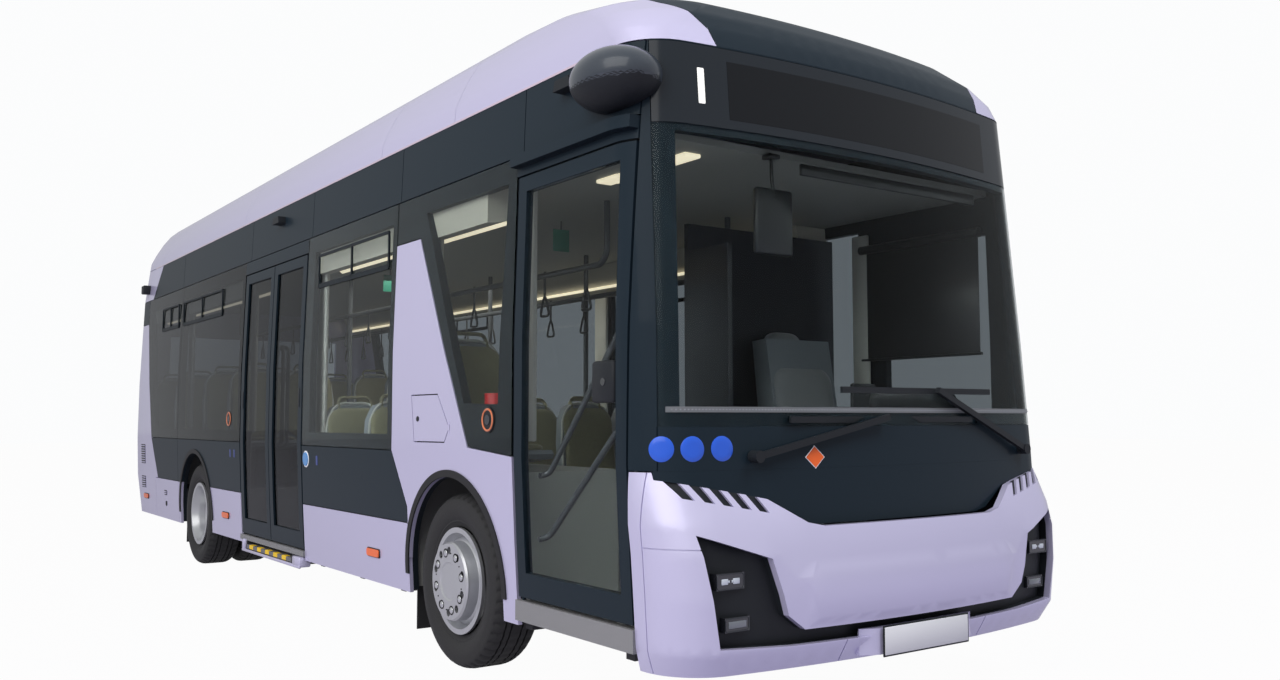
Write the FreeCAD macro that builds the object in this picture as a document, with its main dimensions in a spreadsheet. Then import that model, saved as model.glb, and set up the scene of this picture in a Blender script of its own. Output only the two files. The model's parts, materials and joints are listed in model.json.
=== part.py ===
# City bus: a nine metre low-floor electric bus with two passenger doors on its right side.
# Frame: +X forward, +Y to the bus's left, +Z up, origin on the ground under the middle of its box.
# All sizes are in millimetres.
import FreeCAD, Part
import Sketcher
import math
import os
from types import SimpleNamespace
from FreeCAD import Vector, Rotation, Placement

doc = FreeCAD.newDocument("CityBus")

# Driving dimensions: name, value, meaning
SIZES = (
    ("overall_length", 9400, "bumper nose to rear wall"),
    ("body_width", 2450, "over the side panels at the belt"),
    ("wall", 50, "side, front and rear wall, and door leaf"),
    ("glass", 6, "thickness of every pane"),
    ("panel_gap", 6, "open joint between two body panels"),
    ("seat_gap", 0.3, "bonded or bolted pieces lie this far apart"),
    ("skirt_low", 310, "height of the skirt's lower edge"),
    ("paint_line", 680, "top of the pale skirt"),
    ("belt", 1064, "top of the waist panels"),
    ("window_low", 1150, "bottom of the clear glass"),
    ("window_high", 2330, "top of the clear glass"),
    ("cant_low", 2440, "bottom of the panels over the windows"),
    ("roof_low", 2748, "roof edge, top of the side wall"),
    ("roof_high", 3190, "crown of the roof"),
    ("skirt_inset", 41, "tuck of the side at skirt_low"),
    ("paint_inset", 18, "tuck of the side at paint_line"),
    ("cant_inset", 25, "lean of the side at cant_low"),
    ("eave_inset", 37, "lean of the side at roof_low"),
    ("straight_high", 1600, "the side is upright up to here"),
    ("front_bow", 6000, "plan radius of the front"),
    ("rear_bow", 9000, "plan radius of the rear"),
    ("nose_length", 414, "front pieces, from the nose to the side panels"),
    ("front_corner", 230, "plan radius of the front corners"),
    ("rear_corner", 200, "plan radius of the rear corners"),
    ("mask_setback", 130, "front panel at the belt, behind the nose"),
    ("rake_setback", 260, "front panel at roof_low, behind the nose"),
    ("rear_rake", 190, "rear wall at roof_low, ahead of its tail"),
    ("rear_tuck", 130, "rear wall at skirt_low, ahead of its tail"),
    ("roof_flat", 700, "half width of the roof's flat crown"),
    ("roof_setback", 1500, "crown starts this far behind the roof's front edge"),
    ("roof_tail", 420, "crown ends this far ahead of the roof's rear edge"),
    ("corner_growth", 290, "the roof's corners round off by this much up to the crown"),
    ("roof_skin", 40, "thickness of the roof and its fairings"),
    ("panel_thick", 20, "outer body panels"),
    ("bumper_thick", 30, "bumper shell"),
    ("lamp_proud", 14, "rear lamps, behind the rear wall"),
    ("front_axle_x", 2730, "front axle"),
    ("wheelbase", 4930, "front to rear axle"),
    ("tyre_radius", 430, "unloaded radius"),
    ("tyre_width", 265, "section width"),
    ("bead_radius", 248, "tyre seat on the rim"),
    ("rim_wall", 9, "thickness of the rim"),
    ("tyre_inset", 50, "outer sidewall, inboard of the body side"),
    ("twin_spacing", 298, "between the middles of a twin pair"),
    ("arch_radius", 515, "wheel arch opening"),
    ("arch_lip", 36, "width of the rubber lip round the arch"),
    ("kingpin_y", 900, "kingpin from the middle"),
    ("kingpin_radius", 22, "kingpin"),
    ("pin_gap", 0.5, "running clearance round pins and spindles"),
    ("spindle_radius", 40, "wheel spindle"),
    ("wheel_box_inner", 560, "inner wall of the wheel boxes from the middle"),
    ("wheel_box_half", 540, "half length of a wheel box"),
    ("wheel_box_top", 985, "height of a wheel box"),
    ("sheet_metal", 5, "wheel boxes and risers"),
    ("floor_top", 370, "low floor"),
    ("floor_thick", 35, "floor board"),
    ("platform_top", 690, "raised rear floor"),
    ("platform_x", -950, "front edge of the raised floor"),
    ("rail_y", 400, "chassis rail from the middle"),
    ("rail_width", 60, "chassis rail"),
    ("rail_height", 60, "chassis rail"),
    ("front_door_rear", 3376, "front doorway, rear edge"),
    ("front_door_front", 4295, "front doorway, front edge"),
    ("mid_door_rear", -852, "middle doorway, rear edge"),
    ("mid_door_front", 559, "middle doorway, front edge"),
    ("front_leaf_low", 441, "bottom of the front leaf"),
    ("mid_leaf_low", 382, "bottom of the middle leaves"),
    ("door_high", 2335, "top of the leaves"),
    ("door_gap", 20, "leaf to post, filled by a rubber edge"),
    ("leaf_meeting", 12, "between the two middle leaves"),
    ("leaf_thick", 38, "door leaf"),
    ("leaf_rail", 70, "width of a leaf's frame"),
    ("leaf_toe", 110, "height of a leaf's bottom frame"),
    ("hinge_inset", 14, "leaf's pivot from its edge"),
    ("hinge_depth", 50, "leaf's pivot inboard of the body side"),
    ("ramp_length", 700, "slide-out ramp, across the bus"),
    ("ramp_width", 1000, "slide-out ramp, along the bus"),
    ("ramp_thick", 28, "slide-out ramp"),
    ("ramp_low", 281, "underside of the ramp"),
)

sheet = doc.addObject("Spreadsheet::Sheet", "Sizes")
for row, (alias, value, meaning) in enumerate(SIZES, start=1):
    sheet.set(f"A{row}", meaning)
    sheet.set(f"B{row}", str(value))
    sheet.setAlias(f"B{row}", alias)
doc.recompute()
size = SimpleNamespace(**{alias: float(sheet.get(alias)) for alias, value, meaning in SIZES})

# Values worked out from the driving dimensions
half_length = size.overall_length / 2
half_width = size.body_width / 2
rear_axle_x = size.front_axle_x - size.wheelbase
tyre_y = half_width - size.tyre_inset - size.tyre_width / 2
nodes = []


# Helpers

def number(expression):
    """The plain value of an expression over the sheet."""
    result = sheet.evalExpression(expression)
    return float(getattr(result, "Value", result))


def publish(label, thing):
    """Name a finished sub-part; its label is its node's name."""
    thing.Label = label
    nodes.append(thing)
    return thing


def shaped(label, shape, place=Vector()):
    """A sub-part whose curved form no single feature gives, moved to its place."""
    thing = doc.addObject("Part::Feature", label)
    thing.Shape = shape
    thing.Placement = Placement(place, Rotation())
    return publish(label, thing)


def move(thing, x="0", y="0", z="0"):
    """Tie a feature's place to the sheet."""
    for axis, expression in (("x", x), ("y", y), ("z", z)):
        thing.setExpression(f"Placement.Base.{axis}", expression)
    return thing


def block(name, x, y, z, dx, dy, dz):
    """A box given by its low corner and its three lengths, all expressions."""
    thing = doc.addObject("Part::Box", name)
    thing.setExpression("Length", dx)
    thing.setExpression("Width", dy)
    thing.setExpression("Height", dz)
    return move(thing, x, y, z)


TURNS = {"x": Rotation(Vector(0, 1, 0), 90), "y": Rotation(Vector(1, 0, 0), -90), "z": Rotation()}


def rod(name, axis, x, y, z, radius, length):
    """A round bar that starts at a point and runs along one axis."""
    thing = doc.addObject("Part::Cylinder", name)
    thing.setExpression("Radius", radius)
    thing.setExpression("Height", length)
    thing.Placement = Placement(Vector(), TURNS[axis])
    return move(thing, x, y, z)


def join(name, parts):
    """Fuse features, or keep them in one sub-part where they don't touch."""
    thing = doc.addObject("Part::MultiFuse", name)
    thing.Shapes = parts
    return thing


def cut(name, base, tool):
    """Take one feature away from another."""
    thing = doc.addObject("Part::Cut", name)
    thing.Base = base
    thing.Tool = tool
    return thing


def mirrored(name, source):
    """The same feature on the bus's other side."""
    thing = doc.addObject("Part::Mirroring", name)
    thing.Source = source
    thing.Normal = Vector(0, 1, 0)
    return thing


def origin_plane(body, role):
    return next(plane for plane in body.Origin.OriginFeatures if plane.Role == role)


def profile(body, role, points, name="Profile"):
    """A closed sketch whose corners are pairs of expressions."""
    sketch = body.newObject("Sketcher::SketchObject", name)
    sketch.AttachmentSupport = (origin_plane(body, role), [""])
    sketch.MapMode = "FlatFace"
    spots = [(number(u), number(v)) for u, v in points]
    count = len(points)
    for i in range(count):
        start = Vector(*spots[i], 0)
        end = Vector(*spots[(i + 1) % count], 0)
        sketch.addGeometry(Part.LineSegment(start, end), False)
    for i in range(count):
        sketch.addConstraint(Sketcher.Constraint("Coincident", i, 2, (i + 1) % count, 1))
    for i, (u, v) in enumerate(points):
        for kind, expression, value in (("DistanceX", u, spots[i][0]), ("DistanceY", v, spots[i][1])):
            place = sketch.addConstraint(Sketcher.Constraint(kind, -1, 1, i, 1, value))
            sketch.setExpression(f"Constraints[{place}]", expression)
    return sketch


def turned(name, points):
    """A body of revolution about its own Y axis, from a (radius, along) profile."""
    body = doc.addObject("PartDesign::Body", name)
    sketch = profile(body, "XY_Plane", points)
    spin = body.newObject("PartDesign::Revolution", name + "_turn")
    spin.Profile = sketch
    spin.ReferenceAxis = (sketch, ["V_Axis"])
    spin.Angle = 360
    return body


def slab(x_low, x_high, y_low, y_high, z_low, z_high):
    """A plain box shape between two corners."""
    low = Vector(x_low, y_low, z_low)
    return Part.makeBox(x_high - x_low, y_high - y_low, z_high - z_low, low)


def prism(points, low, high, axis="y"):
    """A polygon in XZ, drawn along Y, or in YZ, drawn along X."""
    if axis == "y":
        corners = [Vector(a, low, b) for a, b in points]
        run = Vector(0, high - low, 0)
    else:
        corners = [Vector(low, a, b) for a, b in points]
        run = Vector(high - low, 0, 0)
    return Part.Face(Part.makePolygon(corners + corners[:1])).extrude(run)


def bar(start, end, width, height):
    """A flat bar between two points, its width level."""
    start = Vector(*start)
    run = Vector(*end) - start
    shape = Part.makeBox(run.Length, width, height, Vector(0, -width / 2, -height / 2))
    turn = Rotation(run, Vector(0, 0, 1).cross(run), Vector(0, 0, 1), "XYZ")
    shape.Placement = Placement(start, turn)
    return shape


def tube(points, radius, bend):
    """A round rail through points, with rounded corners."""
    points = [Vector(*point) for point in points]
    edges = []
    last = points[0]
    for before, here, after in zip(points, points[1:], points[2:]):
        into = (before - here).normalize()
        out = (after - here).normalize()
        turn = into.getAngle(out)
        reach = bend / math.tan(turn / 2)
        middle = here + (into + out).normalize() * (bend / math.sin(turn / 2) - bend)
        edges.append(Part.LineSegment(last, here + into * reach).toShape())
        edges.append(Part.Arc(here + into * reach, middle, here + out * reach).toShape())
        last = here + out * reach
    edges.append(Part.LineSegment(last, points[-1]).toShape())
    path = Part.Wire(edges)
    ring = Part.Wire(Part.Circle(points[0], points[1] - points[0], radius).toShape())
    return path.makePipeShell([ring], True, False)


# Body envelope: plan outlines at several heights, joined by ruled walls

def plan_outline(z, half, front, rear, front_corner, inset):
    """One level's outline: bowed front and rear, tangent corner arcs, straight sides."""
    half -= inset

    def end(tip, bow, corner):
        """Corner centre and the tangent point on the bow, measured from the bow's centre."""
        reach = math.sqrt((bow - corner) ** 2 - (half - corner) ** 2)
        touch = (bow * reach / (bow - corner), bow * (half - corner) / (bow - corner))
        return reach, touch

    def arc(start, middle, stop):
        return Part.Arc(Vector(*start, z), Vector(*middle, z), Vector(*stop, z)).toShape()

    def corner_arc(centre, start, stop, radius):
        lean = Vector(start[0] + stop[0] - 2 * centre[0], start[1] + stop[1] - 2 * centre[1], 0)
        lean.normalize()
        middle = (centre[0] + lean.x * radius, centre[1] + lean.y * radius)
        return arc(start, middle, stop)

    front -= inset
    rear += inset
    bow = size.front_bow - inset
    corner = front_corner - inset
    tail_bow = size.rear_bow - inset
    tail_corner = size.rear_corner - inset
    reach, touch = end(front, bow, corner)
    tail_reach, tail_touch = end(rear, tail_bow, tail_corner)
    nose = front - bow
    tail = rear + tail_bow
    edges = []
    edges.append(arc((nose + touch[0], -touch[1]), (front, 0), (nose + touch[0], touch[1])))
    edges.append(corner_arc((nose + reach, half - corner), (nose + touch[0], touch[1]),
                            (nose + reach, half), corner))
    edges.append(Part.makeLine(Vector(nose + reach, half, z), Vector(tail - tail_reach, half, z)))
    edges.append(corner_arc((tail - tail_reach, half - tail_corner), (tail - tail_reach, half),
                            (tail - tail_touch[0], tail_touch[1]), tail_corner))
    edges.append(arc((tail - tail_touch[0], tail_touch[1]), (rear, 0),
                     (tail - tail_touch[0], -tail_touch[1])))
    edges.append(corner_arc((tail - tail_reach, tail_corner - half),
                            (tail - tail_touch[0], -tail_touch[1]), (tail - tail_reach, -half), tail_corner))
    edges.append(Part.makeLine(Vector(tail - tail_reach, -half, z), Vector(nose + reach, -half, z)))
    edges.append(corner_arc((nose + reach, corner - half), (nose + reach, -half),
                            (nose + touch[0], -touch[1]), corner))
    return Part.Wire(edges)


belt_front = half_length - size.mask_setback
roof_front = half_length - size.rake_setback
rake = (belt_front - roof_front) / (size.roof_low - size.belt)


def body_front(z):
    """Where the front wall meets the middle plane at a height."""
    return belt_front - rake * (z - size.belt)


def body_half(z):
    """Half width of the body at a height."""
    steps = ((size.skirt_low, size.skirt_inset), (size.paint_line, size.paint_inset), (size.belt, 0),
             (size.straight_high, 0), (size.cant_low, size.cant_inset), (size.roof_low, size.eave_inset))
    for (low, first), (high, second) in zip(steps, steps[1:]):
        if z <= high:
            break
    return half_width - first - (second - first) * (z - low) / (high - low)


def body_rear(z):
    """Where the rear wall meets the middle plane at a height."""
    tail = -half_length
    if z <= size.paint_line:
        return tail + size.rear_tuck * (size.paint_line - z) / (size.paint_line - size.skirt_low)
    if z <= size.cant_low:
        return tail + size.rear_rake * 0.3 * (z - size.paint_line) / (size.cant_low - size.paint_line)
    share = (z - size.cant_low) / (size.roof_low - size.cant_low)
    return tail + size.rear_rake * (0.3 + 0.7 * share)


def front_face(y, z):
    """X of the front wall's outer face."""
    return body_front(z) - size.front_bow + math.sqrt(size.front_bow ** 2 - y ** 2)


frame_top = size.roof_low + size.panel_gap - size.seat_gap
body_levels = (size.skirt_low, size.paint_line, size.belt, size.straight_high, size.cant_low, frame_top)


def body_envelope(inset):
    """The body's outer form, drawn in by an inset."""
    outlines = [plan_outline(z, body_half(z), body_front(z), body_rear(z), size.front_corner, inset)
                for z in body_levels]
    return Part.makeLoft(outlines, True, True)


# The roof at shares of its rise: how far in its sides, front and rear are, and its corners' growth.
# The fold at the second level runs all round it.
roof_shares = ((0, 0, 0, 0, 0), (0.174, 0.016, 0.019, 0.05, 0.1), (0.38, 0.09, 0.063, 0.17, 0.3),
               (0.61, 0.195, 0.143, 0.31, 0.6), (0.79, 0.3, 0.333, 0.48, 0.85), (0.908, 0.415, 0.567, 0.62, 1),
               (0.972, 0.6, 0.767, 0.79, 1), (1, 1, 1, 1, 1))


def roof_envelope(inset):
    """The roof's outer form, from the eaves to the flat crown."""
    low_half = body_half(size.roof_low)
    low = size.roof_low + size.panel_gap
    outlines = []
    for rise, sides, front_share, rear_share, corner_share in roof_shares:
        z = low + (size.roof_high - inset - low) * rise
        half = low_half - (low_half - size.roof_flat) * sides
        front = roof_front - size.roof_setback * front_share
        rear = body_rear(size.roof_low) + size.roof_tail * rear_share
        corner = size.front_corner + size.corner_growth * corner_share
        outlines.append(plan_outline(z, half, front, rear, corner, inset))
    return Part.makeLoft(outlines, True, True)


outer = body_envelope(0)
pane_back = body_envelope(size.glass)
frame_face = body_envelope(size.glass + size.seat_gap)
lining = body_envelope(size.wall)
panel_back = body_envelope(size.panel_thick)
frame_back = body_envelope(size.panel_thick + size.seat_gap)
skin = outer.cut(lining)
panel_skin = outer.cut(panel_back)
pane_skin = outer.cut(pane_back)
frame_skin = frame_face.cut(lining)
post_skin = frame_back.cut(lining)

far = half_width + 200
gap = size.panel_gap
RIGHT = (-far, -600)
LEFT = (600, far)


def mirror_shape(shape):
    return shape.mirror(Vector(), Vector(0, 1, 0))


def arch_hole(axle_x, side):
    """A wheel arch: a round opening that runs down to the skirt's edge."""
    low, high = side
    hole = Part.makeCylinder(size.arch_radius, high - low, Vector(axle_x, low, size.tyre_radius), Vector(0, 1, 0))
    foot = slab(axle_x - size.arch_radius, axle_x + size.arch_radius, low, high, 0, size.tyre_radius)
    return hole.fuse(foot)


arches_right = arch_hole(size.front_axle_x, RIGHT).fuse(arch_hole(rear_axle_x, RIGHT))
arches_left = arch_hole(size.front_axle_x, LEFT).fuse(arch_hole(rear_axle_x, LEFT))


def inset_prism(polygon, by, low, high):
    """A prism along Y of a polygon drawn in by a clearance."""
    corners = [Vector(a, low, b) for a, b in polygon]
    face = Part.Face(Part.makePolygon(corners + corners[:1]))
    return face.makeOffset2D(-by, 2).extrude(Vector(0, high - low, 0))


def panels(source, polygons, side, holes=None):
    """Body panels: parts of a skin inside polygons on the bus's side, each half a gap from its lines."""
    pieces = []
    for polygon in polygons:
        piece = source.common(inset_prism(polygon, gap / 2, *side))
        if holes is not None:
            piece = piece.cut(holes)
        pieces += piece.Solids
    return Part.makeCompound(pieces)


def oblong(x_low, x_high, z_low, z_high):
    return [(x_low, z_low), (x_high, z_low), (x_high, z_high), (x_low, z_high)]


def all_of(shapes):
    """One shape of several."""
    return shapes[0].multiFuse(shapes[1:]) if len(shapes) > 1 else shapes[0]


# Side panels. They meet along these lines, and each stops half a gap short of its own.
corner_x = half_length - size.nose_length
low = size.skirt_low - 5
line = size.paint_line
belt = size.belt
cant = size.cant_low
eaves = size.roof_low + gap / 2
door_edge = size.front_door_rear + gap / 2
mid_rear = size.mid_door_rear + gap / 2
mid_front = size.mid_door_front - gap / 2
cab_edge = corner_x - gap / 2
slant_foot = (2939, belt + 34)
pillar_front = (2335, 2200)
pillar_rear = 2027
arch_border = (2216, 765)
aft_split = -2784
tail_split = -3664
tail_foot = (-3572, line)
tail_knee = (-3817, belt)
tail_top = (-4162, 2198)
tail_cant = -4024
tail_eaves = -3676

quarter = [(door_edge, low), (door_edge, belt), slant_foot, pillar_front, (pillar_rear, pillar_front[1]),
           (pillar_rear, belt), arch_border, (arch_border[0], low)]
skirts_mid = oblong(mid_front, arch_border[0], low, line)
skirts_closed = oblong(mid_rear, mid_front, low, line)
skirts_aft = oblong(aft_split, mid_rear, low, line)
skirts_tail = oblong(tail_split, aft_split, low, line)
waist_mid = [(mid_front, line), (arch_border[0], line), arch_border, (pillar_rear, belt), (mid_front, belt)]
waist_closed = oblong(mid_rear, mid_front, line, belt)
waist_aft = oblong(aft_split, mid_rear, line, belt)
waist_tail = [tail_foot, (aft_split, line), (aft_split, belt), tail_knee]
cab_side = oblong(door_edge, cab_edge, low, belt)

# Charging flap in the front quarter, on a short hinge at its foremost point
flap_outline = [(2290, 1357), (2602, 1357), (2736, 1190), (2685, 1120), (2328, 1118)]
flap_prism = inset_prism(flap_outline, 0, *RIGHT)
flap_opening = inset_prism(flap_outline, -gap, *RIGHT)
flap_hinge = Vector(2742, -half_width, 1190)
knuckle_half = 14
flap_room = slab(flap_hinge.x - 30, flap_hinge.x + 7, *RIGHT, flap_hinge.z - knuckle_half - 1,
                 flap_hinge.z + knuckle_half + 1)


def flap_barrel(z_low, z_high):
    return Part.makeCylinder(3.5, z_high - z_low, Vector(flap_hinge.x, flap_hinge.y, z_low))


flap_leaf = slab(flap_hinge.x - 22, flap_hinge.x, flap_hinge.y, flap_hinge.y + 4, flap_hinge.z - knuckle_half,
                 flap_hinge.z + knuckle_half)
flap = panel_skin.common(flap_prism).fuse(flap_leaf)
flap = flap.fuse(flap_barrel(flap_hinge.z - knuckle_half, flap_hinge.z + knuckle_half)).removeSplitter()
skirts = panels(panel_skin, [quarter, skirts_mid, skirts_aft, skirts_tail], RIGHT,
                arches_right.fuse(flap_opening).fuse(flap_room)).Solids
barrels = [flap_barrel(flap_hinge.z - knuckle_half - 19, flap_hinge.z - knuckle_half - size.pin_gap),
           flap_barrel(flap_hinge.z + knuckle_half + size.pin_gap, flap_hinge.z + knuckle_half + 19)]
skirts[0] = skirts[0].multiFuse(barrels).removeSplitter()
shaped("skirts_right", Part.makeCompound(skirts))
shaped("skirts_left", panels(panel_skin, [quarter, skirts_mid, skirts_closed, skirts_aft, skirts_tail, cab_side],
                             LEFT, arches_left))
shaped("waist_right", panels(panel_skin, [waist_mid, waist_aft, waist_tail], RIGHT, arches_right))
shaped("waist_left", panels(panel_skin, [waist_mid, waist_closed, waist_aft, waist_tail], LEFT, arches_left))
shaped("charge_flap", flap)

# Window walls and their panes. The panes cover the walls, which show through as dark borders.
front_wall = [(pillar_rear, cant), (door_edge, cant), (door_edge, belt), slant_foot, pillar_front,
              (pillar_rear, pillar_front[1])]
mid_wall = oblong(mid_front, pillar_rear, belt, cant)
aft_wall = oblong(aft_split, mid_rear, belt, cant)
tail_wall = [tail_knee, (aft_split, belt), (aft_split, cant), (tail_top[0], cant), tail_top]
closed_wall = oblong(mid_rear, mid_front, belt, cant)
cab_wall = oblong(door_edge, cab_edge, belt, cant)

window_front = [(2400, size.window_high), (3290, size.window_high), (3235, 1300), (2890, 1310)]
window_mid = oblong(690, 1960, size.window_low, size.window_high)
window_aft = oblong(-2720, -930, size.window_low, size.window_high)
window_tail = [(-3700, size.window_low), (-2850, size.window_low), (-2850, size.window_high),
               (-4060, size.window_high)]
window_closed = oblong(-790, 500, size.window_low, size.window_high)
window_cab = oblong(3470, 4180, 1120, 2200)


def window_holes(polygons, side):
    return all_of([prism(polygon, *side) for polygon in polygons])


right_walls = [front_wall, mid_wall, aft_wall, tail_wall]
left_walls = right_walls + [closed_wall, cab_wall]
right_windows = [window_front, window_mid, window_aft, window_tail]
left_windows = right_windows + [window_closed, window_cab]
shaped("side_glass_right", panels(pane_skin, right_walls, RIGHT))
shaped("side_glass_left", panels(pane_skin, left_walls, LEFT))

# Side frames: the posts and rails that carry the panels and the panes, one frame a side
frame_low = size.skirt_low + 12
tail_line = [(tail_split, low), (tail_split, line), tail_foot, tail_knee, tail_top, (tail_top[0], cant),
             (tail_cant, cant), (tail_eaves, eaves), (tail_eaves, frame_top + 1)]
frame_zone = tail_line + [(corner_x, frame_top + 1), (corner_x, low)]
door_head = size.door_high + 10
front_doorway = oblong(size.front_door_rear, size.front_door_front + 50, frame_low - 100, door_head)
mid_doorway = oblong(size.mid_door_rear, size.mid_door_front, frame_low - 100, door_head)


def side_frame(walls, windows, doorways, side, holes):
    """Posts behind the panels, thicker where the panes lie on them."""
    above = slab(-half_length, half_length, *side, frame_low, size.roof_high)
    frame = post_skin.common(inset_prism(frame_zone, size.seat_gap / 2, *side)).common(above)
    zones = all_of([inset_prism(wall, gap / 2, *side) for wall in walls])
    frame = frame.fuse(frame_skin.common(zones))
    return frame.cut(window_holes(windows + doorways, side)).cut(holes).removeSplitter()


flap_hole = inset_prism(flap_outline, -gap, *RIGHT).fuse(flap_room)
shaped("side_frame_right", side_frame(right_walls, right_windows, [front_doorway, mid_doorway], RIGHT,
                                      arches_right.fuse(flap_hole)))
shaped("side_frame_left", side_frame(left_walls, left_windows, [], LEFT, arches_left))

# Panels over the windows, split along the bus, with the headers over the doors and the rear band
cant_splits = (-2810, -730, 620, 2060, 3430, cab_edge)
cant_pieces = [[(tail_cant, cant), (cant_splits[0], cant), (cant_splits[0], eaves), (tail_eaves, eaves)]]
for start, stop in zip(cant_splits, cant_splits[1:]):
    cant_pieces.append(oblong(start, stop, cant, eaves))
cants = panels(panel_skin, cant_pieces, RIGHT).Solids + panels(panel_skin, cant_pieces, LEFT).Solids
door_header = panel_skin.common(slab(size.front_door_rear, corner_x - gap, *RIGHT, door_head, cant - gap / 2))
door_rail = body_envelope(-40).cut(outer).common(slab(3370, 4280, *RIGHT, 2385, 2437))
cants += door_header.fuse(door_rail).Solids
cants += panel_skin.common(slab(size.mid_door_rear, size.mid_door_front, *RIGHT, door_head, cant - gap / 2)).Solids
band_zone = [(-half_length - 20, tail_top[1]), tail_top, (tail_top[0], cant), (-half_length - 20, cant)]
band = panel_skin.common(inset_prism(band_zone, gap / 2, -far, far))
for y_low, y_high in ((-far, -900), (-900 + size.seat_gap, 900 - size.seat_gap), (900, far)):
    cants += band.common(slab(-half_length - 20, 0, y_low, y_high, 0, size.roof_high)).Solids
shaped("cant_panels", Part.makeCompound(cants))

# Front: lower band, pillars and header as one frame, with the windscreen and the display pane on it
ahead = half_length + 100
nose_zone = slab(corner_x, ahead, -far, far, size.belt - 30, frame_top + 1)
pane_half_low = 1165
pane_half_high = 1125
screen_low = 1201
screen_high = 2405


def pane_zone(z_low, z_high, trim=0):
    """The front panes' outline, which narrows upwards."""
    lean = (pane_half_low - pane_half_high) / (size.roof_low - screen_low)
    wide = pane_half_low - lean * (z_low - screen_low) - trim
    narrow = pane_half_low - lean * (z_high - screen_low) - trim
    return prism([(-wide, z_low), (wide, z_low), (narrow, z_high), (-narrow, z_high)], 3500, ahead, "x")


screen_hole = prism([(-1090, 1275), (1090, 1275), (1050, 2375), (-1050, 2375)], 3500, ahead, "x")
display_hole = prism([(-840, 2440), (880, 2440), (880, 2700), (-840, 2700)], 3500, ahead, "x")
pane_seat = outer.cut(frame_face).common(pane_zone(screen_low, size.roof_low + 1))
front_frame = skin.common(nose_zone).cut(pane_seat).cut(screen_hole).cut(display_hole)
mask_lines = pane_zone(size.belt - 40, screen_low + 1, -2).cut(pane_zone(size.belt - 40, screen_low + 1, 2))
shaped("front_frame", front_frame.cut(mask_lines.cut(body_envelope(5))))
shaped("windshield", pane_skin.common(pane_zone(screen_low + 3, screen_high - 3, 3)))
shaped("display_glass", pane_skin.common(pane_zone(screen_high + 3, size.roof_low - 1, 3)))
board_shell = body_envelope(size.wall + size.seat_gap).cut(body_envelope(size.wall + 30))
shaped("display_board", board_shell.common(slab(corner_x, ahead, -870, 910, 2432, 2708)))

# Front bumper: a shell in front of the body, its brow folded over the lamps, with a hood let into it
bumper_low = 270
bumper_top = size.belt - 30
brow_z = 830
bumper_levels = ((bumper_low, 60, 70), (360, 38, 16), (560, 26, 0), (720, 15, 8), (brow_z, 2, 42),
                 (bumper_top - 4, 1, 133))


def bumper_envelope(inset):
    """Outlines at several heights: how far in the sides are, and how far behind the nose the front is."""
    outlines = []
    for z, side_in, setback in bumper_levels:
        outlines.append(plan_outline(z, half_width - side_in, half_length - setback, -half_length,
                                     size.front_corner + 20, inset))
    return Part.makeLoft(outlines, True, True)


def bumper_face(y, z):
    """X of the bumper's outer face, away from its corners."""
    for (low_z, side_in, first), (high_z, side_in, second) in zip(bumper_levels, bumper_levels[1:]):
        if z <= high_z:
            break
    setback = first + (second - first) * (z - low_z) / (high_z - low_z)
    return half_length - setback - size.front_bow + math.sqrt(size.front_bow ** 2 - y ** 2)


def across(points, low_x=3500):
    """A prism along X of a half outline and its mirror image."""
    return prism(points + [(-y, z) for y, z in reversed(points)], low_x, ahead, "x")


def both(points):
    """Two prisms along X, one on each side."""
    half = prism(points, 3500, ahead, "x")
    return half.fuse(mirror_shape(half))


hood_half = [(-1178, bumper_top), (-1178, 1000), (-850, 941), (-760, 922), (-600, 828), (-520, 812)]
hood_seat = [(-1179, size.roof_low), (-1179, 1000), (-850, 940), (-760, 921), (-600, 827), (-520, 811)]
bumper_zone = slab(corner_x, ahead, -far, far, 0, bumper_top - gap)
bumper_form = bumper_envelope(0)
bumper_back = bumper_envelope(size.bumper_thick)
bumper = bumper_form.cut(bumper_back).common(bumper_zone).cut(across(hood_seat))


def pillow_outline(z, foot, shoulder, out):
    """One level of the raised middle: a bowed face between two slanted edges."""
    face = [(bumper_face(y, z) + rise, y) for y, rise in ((foot, -3), (shoulder, out), (0, out))]
    back = face[0][0] - size.bumper_thick / 2
    points = [Vector(back, -foot, z), Vector(face[0][0], -foot, z), Vector(face[1][0], -shoulder, z)]
    far_points = [Vector(point.x, -point.y, point.z) for point in reversed(points)]
    bow = Part.Arc(points[2], Vector(face[2][0], 0, z), far_points[0]).toShape()
    edges = [Part.makeLine(a, b) for a, b in zip(points, points[1:])] + [bow]
    edges += [Part.makeLine(a, b) for a, b in zip(far_points, far_points[1:])]
    edges.append(Part.makeLine(far_points[2], points[0]))
    return Part.Wire(edges)


pillow_levels = ((424, 652, 640, -4), (470, 664, 585, 15), (620, 715, 625, 15), (739, 700, 560, -4))
pillow = Part.makeLoft([pillow_outline(*level) for level in pillow_levels], True, True).cut(bumper_back)
bumper = bumper.fuse(pillow)

# Lamp pockets joined by a slot under the middle, in a black tray behind the shell
grille_half = [(-1100, 800), (-800, 702), (-728, 482), (-648, 424), (0, 424), (0, 362), (-700, 366), (-1023, 380)]
grille = both(grille_half)
tray_half = [(-1120, 812), (-780, 725), (-705, 500), (-640, 445), (0, 445), (0, 345), (-700, 345), (-1040, 360)]
tray_depth = 62
tray_back = bumper_envelope(tray_depth + 14)
tray = bumper_envelope(size.bumper_thick + size.seat_gap).cut(tray_back).common(both(tray_half))
tray = tray.cut(both([(y * 0.998, z) for y, z in grille_half]).cut(bumper_envelope(tray_depth)))
bumper = bumper.cut(grille)

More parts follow.
